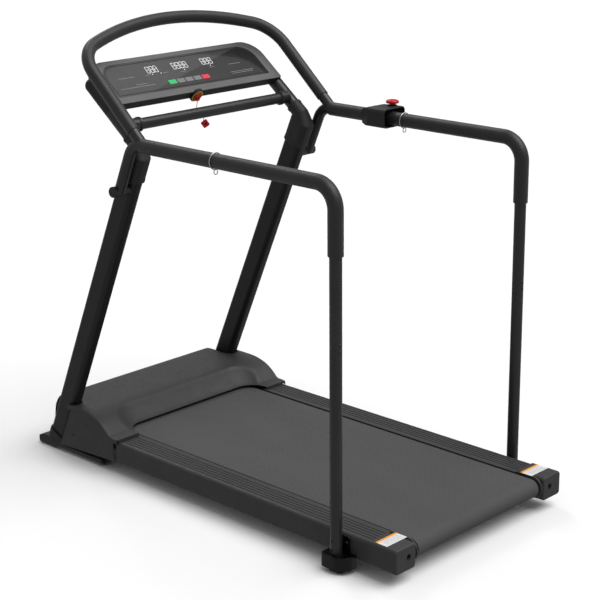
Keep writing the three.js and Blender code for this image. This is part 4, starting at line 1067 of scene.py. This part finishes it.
def make_hood():
    """The cover, open round the uprights and the power entry, with inner cheeks and rear ledges."""
    narrow = UPRIGHT_X - UPRIGHT_W / 2 - 0.006
    cuts = both(upright_bar(0.004, -0.02, 0.4)) + both(box_mesh(narrow, 0.4, 0.57, 0.73, -0.01, 0.26))
    for x, half, z0, z1 in ((INLET.x, 0.016, 0.061, 0.085), (ROCKER.x, 0.012, 0.062, 0.084)):
        cuts.append(box_mesh(x - half, x + half, 0.69, 0.72, z0, z1))
    shell = carve(hood_skin(), *cuts)
    cheek_x = narrow - 0.006
    cheek_y = 0.578
    inset = 0.0015
    outline = [(cheek_y, 0.05), (0.7005, 0.05)]
    outline += [(p.x - 0.001, p.y - inset) for p in reversed(PROFILE_LINE) if cheek_y < p.x < 0.7]
    outline.append((cheek_y, profile_height(cheek_y) - inset))
    cheek = prism([outline], cheek_x, cheek_x + WALL, "X")
    ledge_y = RECESS_REAR_Y - WALL
    ledge_z = BELT_HIGH.z + 0.0024
    ledge = box_mesh(RECESS_HALF, HOOD_HALF - 0.005, ledge_y, ledge_y + WALL, ledge_z, LIP_Z, 0.0008)
    cover = merged(shell, *both(cheek), *both(ledge))
    piece("motor_cover_shell", cover, HOOD_LOOK, ["motor_cover"], sharp=30)


def make_cover_sides():
    lo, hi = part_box("cover_side_right")
    drop = WALL + 0.002
    front_top = 0.548
    steps = 24
    outline = [(0.612, lo.z), (front_top, profile_height(front_top) - drop)]
    for i in range(1, steps + 1):
        y = front_top + (lo.y - front_top) * i / steps
        outline.append((y, profile_height(y) - drop))
    outline.append((lo.y, 0.037))
    pair("cover_panel", prism([outline], lo.x, hi.x, "X", 0.001), SIDE_LOOK, ["cover_side"])
    screw = button_head(Vector((hi.x - 0.0006, 0.545, 0.072)), X, 0.0046)
    pair("cover_screw", screw, SCREW_LOOK)


make_hood()
make_cover_sides()


# ---- floor rails, wheels and feet ----
def make_floor_rails():
    """A low beam with a collar round the upright, and the wheel's fork and pin at its front."""
    lo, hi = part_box("floor_rail_right")
    rear = lo.y
    front = hi.y
    outline = [
        (rear, 0.008), (rear, 0.023), (0.6, 0.023), (0.612, 0.033), (0.7, 0.033), (front, 0.024),
        (front, 0.006), (front - 0.008, 0.002), (0.64, 0.002), (0.628, 0.008),
    ]
    beam = prism([outline], lo.x, hi.x, "X", 0.0025)
    section = rounded_rect(UPRIGHT_D + 0.009, UPRIGHT_W + 0.009, UPRIGHT_CORNER + 0.0045)
    collar = soften(bar(on_upright(0.024), on_upright(0.052), section), 0.0015)
    prong = rounded_rect(0.038, 0.016, 0.004, WHEEL.y + 0.011, 0.0165)
    forks = [prism([prong], x, x + 0.005, "X", 0.001) for x in (lo.x + 0.004, hi.x - 0.009)]
    pin = rod(0.003, 0, 0.033, aim((lo.x + 0.006, WHEEL.y, WHEEL.z), X), 24)
    solid = carve(beam, upright_bar(GAP, UPRIGHT_BOTTOM - 0.0013, 0.08))
    ring = carve(collar, upright_bar(GAP, 0.0, 0.09))
    pair("floor_beam", merged(solid, ring, *forks, pin), STEEL_LOOK, ["floor_rail"])
    sole = rounded_rect(hi.x - lo.x - 0.016, 0.03, 0.005, (lo.x + hi.x) / 2, 0.69)
    pair("front_pad", prism([sole], 0, 0.0025, "Z", 0.0006), RUBBER_LOOK)
    bolts = [button_head(Vector((hi.x - 0.0005, y, 0.0165)), X, 0.004) for y in (0.628, 0.712)]
    pair("floor_beam_screws", merged(*bolts), SCREW_LOOK)


def make_wheels():
    lo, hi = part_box("transport_wheel_right")
    half = (hi.x - lo.x) / 2
    r = (hi.z - lo.z) / 2
    bore = 0.0033
    profile = [(bore, -half), (r * 0.55, -half), (r * 0.6, -half + 0.002), (r * 0.78, -half + 0.002)]
    profile += [(r * 0.84, -half), (r - 0.002, -half), (r - 0.0006, -half + 0.0008), (r, -half + 0.0025)]
    mesh = lathe(profile + [(a, -b) for a, b in reversed(profile)], aim(WHEEL, X), 56, loop=True)
    pair("transport_roller", mesh, RUBBER_LOOK, ["transport_wheel"], "transport_wheel")


def make_uprights():
    post = upright_bar(0, UPRIGHT_BOTTOM, 0.945, inner=True)
    pair("upright_tube", post, STEEL_LOOK, ["upright"])


def bracket_outline(inset):
    """Plan of the foot cup: straight against the rail, curved round the post's rear."""
    inner = BRACKET_LOW.x
    outer = BRACKET_HIGH.x - inset
    rear = BRACKET_LOW.y + inset
    front = BRACKET_HIGH.y - inset
    flat = 0.014
    curve_start = -0.548
    points = [(inner + inset, rear), (inner + flat, rear)]
    steps = 20
    for i in range(1, steps + 1):
        a = math.pi / 2 * (1 - i / steps)
        x = inner + flat + (outer - inner - flat) * math.cos(a)
        points.append((x, curve_start - (curve_start - rear) * math.sin(a)))
    points += [(outer, front - 0.012), (outer - 0.003, front - 0.004)]
    points += [(outer - 0.01, front), (inner + inset, front)]
    return points


def make_foot_brackets():
    """A cup round the post's foot, its tab on the side rail, their screws and the rubber foot."""
    top = 0.048
    base_z = BRACKET_LOW.z
    post_hole = [(POST.x + u, POST.y + v) for u, v in circle(TUBE_R + GAP, 40)]
    cup = prism([bracket_outline(0), bracket_outline(WALL)], base_z, top - WALL, "Z", 0.0006, 2)
    lid = prism([bracket_outline(0), post_hole], top - WALL, top, "Z", 0.0009)
    floor = prism([bracket_outline(0.0005), post_hole], base_z, base_z + WALL, "Z")
    lap = 0.01
    tab_h = BRACKET_HIGH.z - top + lap
    tab_outline = rounded_rect(0.056, tab_h, 0.008, -0.54, (BRACKET_HIGH.z + top - lap) / 2)
    tab = prism([tab_outline], BRACKET_LOW.x, BRACKET_LOW.x + WALL, "X", 0.0008)
    pair("foot_cup", merged(cup, lid, floor, tab), CUP_LOOK, ["foot_bracket"])
    post_side = POST.x + TUBE_R - 0.0006
    tab_side = BRACKET_LOW.x + WALL - 0.0003
    bolts = [button_head(Vector((post_side, POST.y, z)), X, 0.0045) for z in (0.062, 0.085)]
    bolts += [button_head(Vector((tab_side, y, 0.074)), X, 0.005) for y in (-0.557, -0.523)]
    pair("foot_cup_screws", merged(*bolts), SCREW_LOOK)
    pads = prism([rounded_rect(0.028, 0.042, 0.01, POST.x, -0.545)], 0, base_z - GAP, "Z", 0.001)
    pair("rear_foot", pads, RUBBER_LOOK, ["rear_pad"])


make_floor_rails()
make_wheels()
make_uprights()
make_foot_brackets()


# ---- handrails, posts and arch ----
RAIL_REAR = Vector((POST.x, POST.y, RAIL_Z))
RAIL_FOOT = Vector((POST.x, POST.y, POST_TOP_Z + GAP))


def make_handrails():
    """One bent pipe a side, from the stub on the upright to the spigot in the lower post."""
    drop = RAIL_Z - STUB_Z + 0.004
    leg_foot = Vector((POST.x, RAIL_CORNER_Y + UPRIGHT_LEAN * drop, RAIL_Z - drop))
    front = Vector((POST.x, RAIL_CORNER_Y, RAIL_Z))
    path = bent_path([leg_foot, front, RAIL_REAR, RAIL_FOOT], [DROP_BEND_R, RAIL_BEND_R])
    rail = tube(path, X, TUBE_R, TUBE_R - TUBE_WALL)
    stub_y = RAIL_CORNER_Y + UPRIGHT_LEAN * (RAIL_Z - STUB_Z) + 0.004
    stub_r = 0.015
    stub_in = UPRIGHT_X + UPRIGHT_W / 2 - 0.002
    stub_out = high("handrail_right").x
    stub = rod(stub_r, 0, stub_out - stub_in - 0.007, aim((stub_in, stub_y, STUB_Z), X))
    spigot = tube([RAIL_FOOT - Z * 0.06, RAIL_FOOT + Z * 0.02], X, 0.0132, 0.0112)
    pair("handrail_tube", merged(rail, stub, spigot), TUBE_LOOK, ["handrail"])
    r = stub_r - 0.0005
    plug = [(0, -0.0075), (r, -0.0075), (stub_r, -0.007), (stub_r, -0.0022), (r - 0.0008, -0.0006)]
    plug += [(r - 0.003, 0), (r - 0.0045, 0), (r - 0.0055, -0.0012), (0, -0.0012)]
    cap = lathe(plug, aim((stub_out, stub_y, STUB_Z), X))
    pair("handrail_plug", cap, PLASTIC_LOOK)


def make_grips():
    start = Vector((POST.x, FOAM_FRONT_Y, RAIL_Z))
    foot = Vector((POST.x, POST.y, FOAM_END_Z))
    foam = tube(bent_path([start, RAIL_REAR, foot], [RAIL_BEND_R], 20), X, FOAM_R, TUBE_R + GAP, 0.0018, 48)
    pair("handrail_sleeve", foam, FOAM_LOOK, ["handrail_foam"])


def make_posts():
    lo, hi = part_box("lower_post_right")
    ends = [Vector((POST.x, POST.y, z)) for z in (lo.z, hi.z)]
    pair("post_tube", tube(ends, X, TUBE_R, TUBE_R - TUBE_WALL), TUBE_LOOK, ["lower_post"])
    side = POST.y - TUBE_R + 0.0006
    screws = [button_head(Vector((POST.x, side, POST_TOP_Z + dz)), -Y, 0.004) for dz in (0.014, 0.032)]
    pair("post_screws", merged(*screws), SCREW_LOOK)


ARCH_NORMAL = Vector((0, -math.sin(ARCH_TILT), math.cos(ARCH_TILT)))


def arch_point(x, s):
    return ARCH_BASE + Vector((x, s * math.cos(ARCH_TILT), s * math.sin(ARCH_TILT)))


def arch_stations(start):
    """Two straight legs joined by a long bow, with rounded shoulders, measured up the slope."""
    crown_s = ARCH_RISE - ARCH_CROWN_R
    cx = ARCH_HALF - ARCH_SHOULDER_R
    cs = crown_s + math.sqrt((ARCH_CROWN_R - ARCH_SHOULDER_R) ** 2 - cx ** 2)
    touch = math.atan2(cs - crown_s, cx)
    half = [(ARCH_HALF, start)]
    for i in range(17):
        a = touch * i / 16
        half.append((cx + ARCH_SHOULDER_R * math.cos(a), cs + ARCH_SHOULDER_R * math.sin(a)))
    for i in range(1, 13):
        a = touch + (math.pi / 2 - touch) * i / 12
        half.append((ARCH_CROWN_R * math.cos(a), crown_s + ARCH_CROWN_R * math.sin(a)))
    whole = half + [(-x, s) for x, s in reversed(half[:-1])]
    return [arch_point(x, s) for x, s in whole]


def make_arch():
    steel = tube(arch_stations(-0.047), ARCH_NORMAL, TUBE_R - 0.0002, TUBE_R - TUBE_WALL)
    piece("arch_pipe", steel, TUBE_LOOK, ["arch_tube"])
    foam = tube(arch_stations(0.0), ARCH_NORMAL, ARCH_FOAM_R, TUBE_R + GAP, 0.0014, 48)
    piece("arch_sleeve", foam, FOAM_LOOK, ["arch_foam"])


make_handrails()
make_grips()
make_posts()
make_arch()


# ---- elbows, console arms and crossbar ----
def arm_point(along, x=ARM_X):
    c = math.cos(CONSOLE_TILT)
    s = math.sin(CONSOLE_TILT)
    edge = CONSOLE.translation
    return Vector((x, edge.y + along * c + ARM_DEPTH * s, edge.z + along * s - ARM_DEPTH * c))


def make_arms():
    """A pipe at each end of the console, and the moulded elbow that holds it on the upright."""
    arm = tube([arm_point(-0.116), arm_point(-GAP)], X, ARM_R, ARM_R - TUBE_WALL, 0.0004, 56)
    pair("console_arm_tube", arm, TUBE_LOOK, ["console_arm"])
    start = arm_point(-0.092)
    end = arm_point(-0.134)
    length = (end - start).length
    matrix = aim(start, end - start)
    sleeve_r = ARM_R + 0.0025
    rim_r = sleeve_r + 0.0012
    lower = upright_sleeve(0.897, 0.966)
    cuff = upright_sleeve(0.897, 0.905, 0.0016)
    profile = [(0, 0), (rim_r, 0), (rim_r, 0.007), (sleeve_r, 0.009), (sleeve_r, length), (0, length)]
    upper = lathe(profile, matrix)
    knee = wrapped(rod(sleeve_r, length - 0.016, length, matrix), upright_sleeve(0.945, 0.966))
    skin = moulded(merged(lower, cuff, upper, knee), 0.0013, 4)
    bore = rod(ARM_R + GAP, -0.01, 0.027, matrix)
    shape = carve(skin, upright_bar(GAP, 0.88, 0.948), bore)
    pair("elbow_sleeve", shape, PLASTIC_LOOK, ["elbow"], sharp=50)
    side = UPRIGHT_X + UPRIGHT_W / 2 + 0.0052
    heads = [button_head(on_upright(z, side), X) for z in (0.914, 0.944)]
    pair("elbow_screws", merged(*heads), SCREW_LOOK)


def make_crossbar():
    """A pipe between the arms, wider at its ends, where the arms' sides trim it."""
    end = -low("crossbar").x
    cup = 0.272
    cup_r = 0.0208
    r = TUBE_R
    profile = [(r, 0), (r, cup - 0.001), (r + 0.001, cup), (cup_r - 0.0012, cup), (cup_r, cup + 0.0012)]
    profile += [(cup_r, cup + 0.008), (cup_r - 0.002, cup + 0.01), (cup_r - 0.002, end)]
    profile.append((r - TUBE_WALL, end))
    whole = [(a, -b) for a, b in reversed(profile)] + profile[1:]
    pipe = lathe(whole, aim((0, CROSSBAR.y, CROSSBAR.z), X), 48, loop=True)
    trim = rod(ARM_R + GAP, 0, 0.12, aim(arm_point(0), arm_point(-1) - arm_point(0)))
    piece("crossbar_tube", carve(pipe, *both(trim)), TUBE_LOOK, ["crossbar"])


make_arms()
make_crossbar()


# ---- console ----
def face_outline(half, bottom, top, top_r, bottom_r, steps=12):
    """Console outline in its face's plane: x across, y up the slope from the bottom edge."""
    corners = [(half - top_r, top - top_r, top_r), (-half + top_r, top - top_r, top_r)]
    corners.append((-half + bottom_r, bottom + bottom_r, bottom_r))
    corners.append((half - bottom_r, bottom + bottom_r, bottom_r))
    return round_corners(corners, steps)


CONSOLE_TOP_R = 0.062
CONSOLE_LOW_R = 0.006
WINDOW_HALF = 0.292
WINDOW_BOTTOM = 0.023
WINDOW_TOP = 0.144
WINDOW_R = 0.052
KEY_PITCH = 0.032
KEY_W = 0.028
KEY_H = 0.016
KEY_ROW = 0.049
KEY_MIDDLE = -0.012
KEYS = [
    ("start", GREEN_LOOK, "green_key"),
    ("slower", GREY_LOOK, "grey_key"),
    ("mode", GREY_LOOK, "grey_key"),
    ("faster", GREY_LOOK, "grey_key"),
    ("stop", STOP_KEY_LOOK, "red_plastic"),
]
FACE = 0.003
PLATE_TOP = -0.0008


def console_outline(inset):
    low_r = max(CONSOLE_LOW_R - inset, 0.001)
    return face_outline(CONSOLE_HALF - inset, inset, CONSOLE_H - inset, CONSOLE_TOP_R - inset, low_r)


def window(inset):
    low_r = max(0.004 - inset, 0.0008)
    top_r = WINDOW_R - inset
    return face_outline(WINDOW_HALF - inset, WINDOW_BOTTOM + inset, WINDOW_TOP - inset, top_r, low_r)


def key_outline(i, grow, corner):
    return rounded_rect(KEY_W + grow, KEY_H + grow, corner, KEY_MIDDLE + (i - 2) * KEY_PITCH, KEY_ROW)


def make_console_back():
    """A hollow shell with rounded back edges, and a round boss over the end of each arm."""
    rings = []
    for inset, shift in rounded_edge(0.007):
        outline = console_outline(inset)
        rings.append([CONSOLE @ Vector((x, y, shift - CONSOLE_DEPTH)) for x, y in outline])
    rings.append([CONSOLE @ Vector((x, y, -FACE - GAP)) for x, y in console_outline(0)])
    hollow = prism([console_outline(WALL)], -CONSOLE_DEPTH + WALL, 0.01, "Z", matrix=CONSOLE)
    reach = 0.104
    steps = 12
    dome = []
    for k in range(steps):
        a = math.pi / 2 * k / steps
        dome.append((ARM_R * math.cos(a), reach + ARM_R * math.sin(a)))
    profile = [(0, 0), (ARM_R - 0.0006, 0), (ARM_R, 0.0006), *dome, (0, reach + ARM_R)]
    boss = lathe(profile, CONSOLE @ aim((ARM_X, 0, -ARM_DEPTH), Y), 56)
    shell = carve(carve(loft(rings), hollow), *both(boss), operation="UNION")
    piece("console_back", shell, SHELL_LOOK, ["console_shell"])


def make_console_face():
    """The bezel, and in its window the face plate with its border."""
    bezel = prism([console_outline(0), window(0)], -FACE, 0, "Z", 0.0011, 3, CONSOLE)
    piece("console_frame", bezel, BEZEL_LOOK, ["console_bezel"])
    holes = [key_outline(i, 0.0008, 0.002) for i in range(len(KEYS))]
    plate = prism([window(GAP), *holes], -FACE, PLATE_TOP, "Z", 0.0002, 1, CONSOLE)
    piece("console_face", plate, PANEL_LOOK, ["console_panel"])
    border = prism([window(0.005), window(0.0072)], PLATE_TOP - 0.0001, -0.0005, "Z", matrix=CONSOLE)
    piece("panel_border", border, DARK_LOOK)


def make_keys():
    for i, (name, look, slot) in enumerate(KEYS):
        cap = prism([key_outline(i, 0, 0.0022)], -0.0055, 0.0004, "Z", 0.0007, 3, CONSOLE)
        piece(f"{name}_key", cap, look, [f"{name}_button"], f"{name}_button")


def digit_strokes(x, y, w, h):
    """Seven lit bars of an 8, as outlines in the face's plane, leaning a little to the right."""
    t = 0.0011
    gap = 0.0004
    lean = 0.06

    def flat(cy):
        low_y, high_y = cy - t / 2, cy + t / 2
        return [(gap, low_y), (w - gap, low_y), (w - gap - t / 2, high_y), (gap + t / 2, high_y)]

    def tall(cx, y0, y1):
        left, right = cx - t / 2, cx + t / 2
        return [(left, y0 + gap), (right, y0 + gap), (right, y1 - gap), (left, y1 - gap)]

    bars = [flat(cy) for cy in (0, h / 2, h)]
    bars += [tall(cx, y0, y1) for cx in (0, w) for y0, y1 in ((0, h / 2), (h / 2, h))]
    return [[(x + u + lean * v, y + v) for u, v in outline] for outline in bars]


def printed(outline, thickness=0.0003):
    """A thin print on the face plate."""
    return prism([outline], PLATE_TOP, PLATE_TOP + thickness, "Z", matrix=CONSOLE)


LAMPS = [(-0.124, 0.088), (-0.092, 0.088), (-0.002, 0.088), (0.1, 0.088)]
RULES = [  # start, end and height of each
    (-0.25, -0.19, 0.089), (-0.268, -0.14, 0.051), (-0.205, -0.165, 0.059), (-0.15, -0.132, 0.088),
    (-0.084, -0.066, 0.088), (-0.02, 0.0, 0.081), (0.09, 0.11, 0.081), (0.168, 0.214, 0.081),
    (0.15, 0.245, 0.05), (0.155, 0.24, 0.044),
]


def make_displays():
    """Three groups of digits, a few round lamps, and plain rules in place of the printed words."""
    digit_w = 0.0104
    digit_h = 0.0235
    base = 0.0945
    pitch = 0.0148
    bars = []
    for centre, count in ((-0.116, 3), (-0.01, 4), (0.095, 3)):
        start = centre - (count - 1) * pitch / 2 - digit_w / 2
        for k in range(count):
            strokes = digit_strokes(start + k * pitch, base, digit_w, digit_h)
            bars += [printed(outline) for outline in strokes]
    piece("display_digits", merged(*bars), DIGIT_LOOK)
    dots = [printed([(x + u, y + v) for u, v in circle(0.0016, 16)]) for x, y in LAMPS]
    piece("display_lamps", merged(*dots), DIGIT_LOOK)
    marks = []
    for x0, x1, y in RULES:
        marks.append(printed(rounded_rect(x1 - x0, 0.0012, 0.0006, (x0 + x1) / 2, y), 0.0002))
    piece("panel_rules", merged(*marks), GLOWING_MARK_LOOK)


def make_key_socket(matrix):
    """A dark boss with a yellow ring let into it."""
    boss_r = 0.022
    out = 0.0192
    bore = 0.0149
    boss = [(0.014, -0.003), (boss_r, -0.003), (boss_r, 0.0045), (boss_r - 0.0015, 0.006)]
    boss += [(out + 0.0002, 0.0062), (out, 0.0055), (0.0148, 0.0055), (0.0146, 0.003), (0.014, 0.003)]
    piece("key_socket_boss", lathe(boss, matrix, 64, loop=True), DARK_LOOK, ["key_socket"])
    ring = [(bore, 0.005), (out, 0.005), (out, 0.0064), (out - 0.0008, 0.007)]
    ring += [(bore + 0.0008, 0.007), (bore, 0.0064)]
    piece("key_socket_ring", lathe(ring, matrix, 64, loop=True), YELLOW_LOOK)


def make_safety_key(matrix):
    """Round magnetic key with a lug for its cord and a small pull tab."""
    r = 0.014
    disc = [(0, 0.0034), (r - 0.0006, 0.0034), (r, 0.004), (r, 0.009), (r - 0.0014, 0.0103)]
    disc += [(r - 0.004, 0.0104), (r - 0.005, 0.0098), (0, 0.0098)]
    depth = -CONSOLE_DEPTH / 2 - 0.009
    lug = [(0, 0), (0.0034, 0), (0.004, 0.0006), (0.004, 0.0044), (0.0034, 0.005), (0, 0.005)]
    lug_mesh = lathe(lug, CONSOLE @ aim((SAFETY_X - 0.0025, -0.012, depth), X), 32)
    tab_outline = rounded_rect(0.006, 0.011, 0.0022, SAFETY_X + 0.007, depth)
    tab = prism([tab_outline], -0.0125, -0.0098, "Y", 0.0007, 2, CONSOLE)
    key = merged(lathe(disc, matrix, 56), lug_mesh, tab)
    piece("safety_key_disc", key, RED_LOOK, ["safety_key"], "safety_key")


make_console_back()
make_console_face()
make_keys()
make_displays()
SOCKET = CONSOLE @ aim((SAFETY_X, 0, -CONSOLE_DEPTH / 2), -Y)
make_key_socket(SOCKET)
make_safety_key(SOCKET)


# ---- stop switch and wire rings ----
def stop_block(inset, corner, rear, front):
    """The switch box, which narrows forward in plan and slopes down to the handrail from the side."""
    lo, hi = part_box("stop_housing")
    cx = (lo.x + hi.x) / 2
    cz = (hi.z + lo.z) / 2
    section = rounded_rect(hi.x - lo.x - 2 * inset, hi.z - lo.z - 2 * inset, corner, cx, cz)
    plan = [
        (lo.x + inset, rear), (hi.x - inset, rear), (hi.x - inset, -0.065), (0.398 - inset, -0.03),
        (0.393 - inset, hi.y - inset), (0.349 + inset, hi.y - inset), (lo.x + inset, -0.024),
    ]
    slope = [
        (rear, lo.z + inset), (-0.018, lo.z + inset), (hi.y, RAIL_Z - 0.0215),
        (hi.y, RAIL_Z + 0.0215), (-0.026, hi.z - inset), (rear, hi.z - inset),
    ]
    above = prism([plan], lo.z - 0.01, hi.z + 0.01, "Z")
    beside = prism([slope], lo.x - 0.01, hi.x + 0.01, "X")
    return carve(prism([section], rear, front, "Y"), above, beside, operation="INTERSECT")


def make_stop_switch():
    """A hollow box over the handrail, with a round button on a collar on its top."""
    lo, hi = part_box("stop_housing")
    body = moulded(stop_block(0, 0.013, lo.y, hi.y), 0.0014, 6)
    hollow = stop_block(WALL, 0.01, lo.y - 0.004, -0.03)
    bore = rod(FOAM_R + GAP, 0, 0.2, aim((POST.x, lo.y - 0.05, RAIL_Z), Y))
    well = rod(0.0056, 0, 0.03, aim((STOP.x, STOP.y, RAIL_Z + 0.01), Z))
    piece("stop_box", carve(body, hollow, bore, well), PLASTIC_LOOK, ["stop_housing"])
    matrix = aim((STOP.x, STOP.y, hi.z), Z)
    nut = [(0.0057, -0.001), (0.0135, -0.001), (0.0135, 0.0012), (0.0125, 0.0022), (0.0057, 0.0022)]
    piece("stop_collar", lathe(nut, matrix, 40, loop=True), DARK_LOOK)
    head = [(0, -0.0015), (0.005, -0.0015), (0.005, 0.0065), (0.0155, 0.0065), (0.0178, 0.0074)]
    head += [(0.019, 0.0092), (0.019, 0.0118), (0.0186, 0.0132), (0.0172, 0.0148), (0.014, 0.0163)]
    head += [(0.009, 0.0172), (0, 0.0175)]
    button = lathe(head, matrix, 56)
    piece("stop_head", button, RED_LOOK, ["stop_mushroom"], "stop_mushroom", sharp=50)


def hoop(centre, r, wire, steps=56, sides=14):
    rings = []
    for i in range(steps):
        a = 2 * math.pi * i / steps
        out = Vector((math.cos(a), 0, math.sin(a)))
        rings.append([centre + out * (r + u) + Y * v for u, v in circle(wire, sides)])
    return loft(rings, loop=True)


def make_wire_rings():
    wire = 0.0013
    r = FOAM_R + 2 * GAP + wire
    centre = Vector((POST.x, RING.y, RAIL_Z))
    eye = hoop(centre - Z * (r + 0.0062), 0.0065, wire, 32)
    rings = merged(hoop(centre, r, wire), eye)
    pair("wire_hoop", rings, STEEL_BRIGHT, ["wire_ring"], "wire_ring")


# ---- power inlet and switch on the cover's front ----
def make_power_entry():
    lo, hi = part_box("power_inlet")
    rim = rounded_rect(hi.x - lo.x, hi.z - lo.z, 0.002, INLET.x, INLET.z)
    well = rounded_rect(0.02, 0.012, 0.002, INLET.x, INLET.z)
    block = carve(prism([rim], lo.y, hi.y, "Y", 0.0008), prism([well], hi.y - 0.013, hi.y + 0.002, "Y"))
    piece("inlet_block", block, DARK_LOOK, ["power_inlet"])
    pins = []
    for dx, dz in ((-0.0055, -0.002), (0.0055, -0.002), (0.0, 0.002)):
        blade = rounded_rect(0.0045, 0.002, 0.0004, INLET.x + dx, INLET.z + dz)
        pins.append(prism([blade], hi.y - 0.0135, hi.y - 0.003, "Y"))
    piece("inlet_pins", merged(*pins), STEEL_BRIGHT)
    lo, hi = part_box("rocker_switch")
    front = hi.y
    face = [(lo.y, lo.z + 0.0005), (front - 0.002, lo.z), (front - 0.004, ROCKER.z), (front, hi.z)]
    rocker = prism([face + [(lo.y, hi.z - 0.0005)]], lo.x, hi.x, "X", 0.0008)
    piece("rocker_cap", rocker, RED_LOOK, ["rocker_switch"], "rocker_switch")


make_stop_switch()
make_wire_rings()
make_power_entry()


# ---- CAD nodes that stay, with their finished materials ----
KEPT = {
    "base_frame": UNDER_LOOK,
    "deck_board": WOOD_LOOK,
    "front_roller": ROLLER_LOOK,
    "rear_roller": ROLLER_LOOK,
    "motor": MOTOR_LOOK,
    "motor_pulley": STEEL_BRIGHT,
    "drive_belt": DRIVE_LOOK,
    "controller": DARK_LOOK,
    "console_board": BOARD_LOOK,
}
for node, look in KEPT.items():
    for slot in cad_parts[node].material_slots:
        slot.material = look.material


# ---- floor and lights ----
def make_stage():
    half = 40
    mesh = build([(-half, -half, 0), (half, -half, 0), (half, half, 0), (-half, half, 0)], [(0, 1, 2, 3)])
    floor_look = Look("floor", shade(255), 0.9, specular=0.1)
    floor_look.mottle(floor_look.noise(0.4, 2), 0.01)
    mesh.materials.append(floor_look.material)
    floor = add_object("floor", mesh)
    floor.location.z = -GAP
    floor.visible_diffuse = False
    floor.visible_glossy = False
    world = bpy.data.worlds.new("studio")
    world.use_nodes = True
    background = world.node_tree.nodes["Background"].inputs
    background["Color"].default_value = (1, 1, 1, 1)
    background["Strength"].default_value = 0.36
    bpy.context.scene.world = world
    bpy.context.scene.view_settings.view_transform = "Standard"


def add_sun(name, towards, angle, strength):
    """A wide soft light from one side of the studio, as even over the whole machine as over the floor."""
    data = bpy.data.lights.new(name, "SUN")
    data.angle = math.radians(angle)
    data.energy = strength
    add_object(name, data).matrix_world = aim((0, 0, 0), towards)


make_stage()
add_sun("softbox", (0.3, -0.45, 1), 55, 2.2)
add_sun("strip", (0.3, 0.664, 0.684), 16, 0.35)
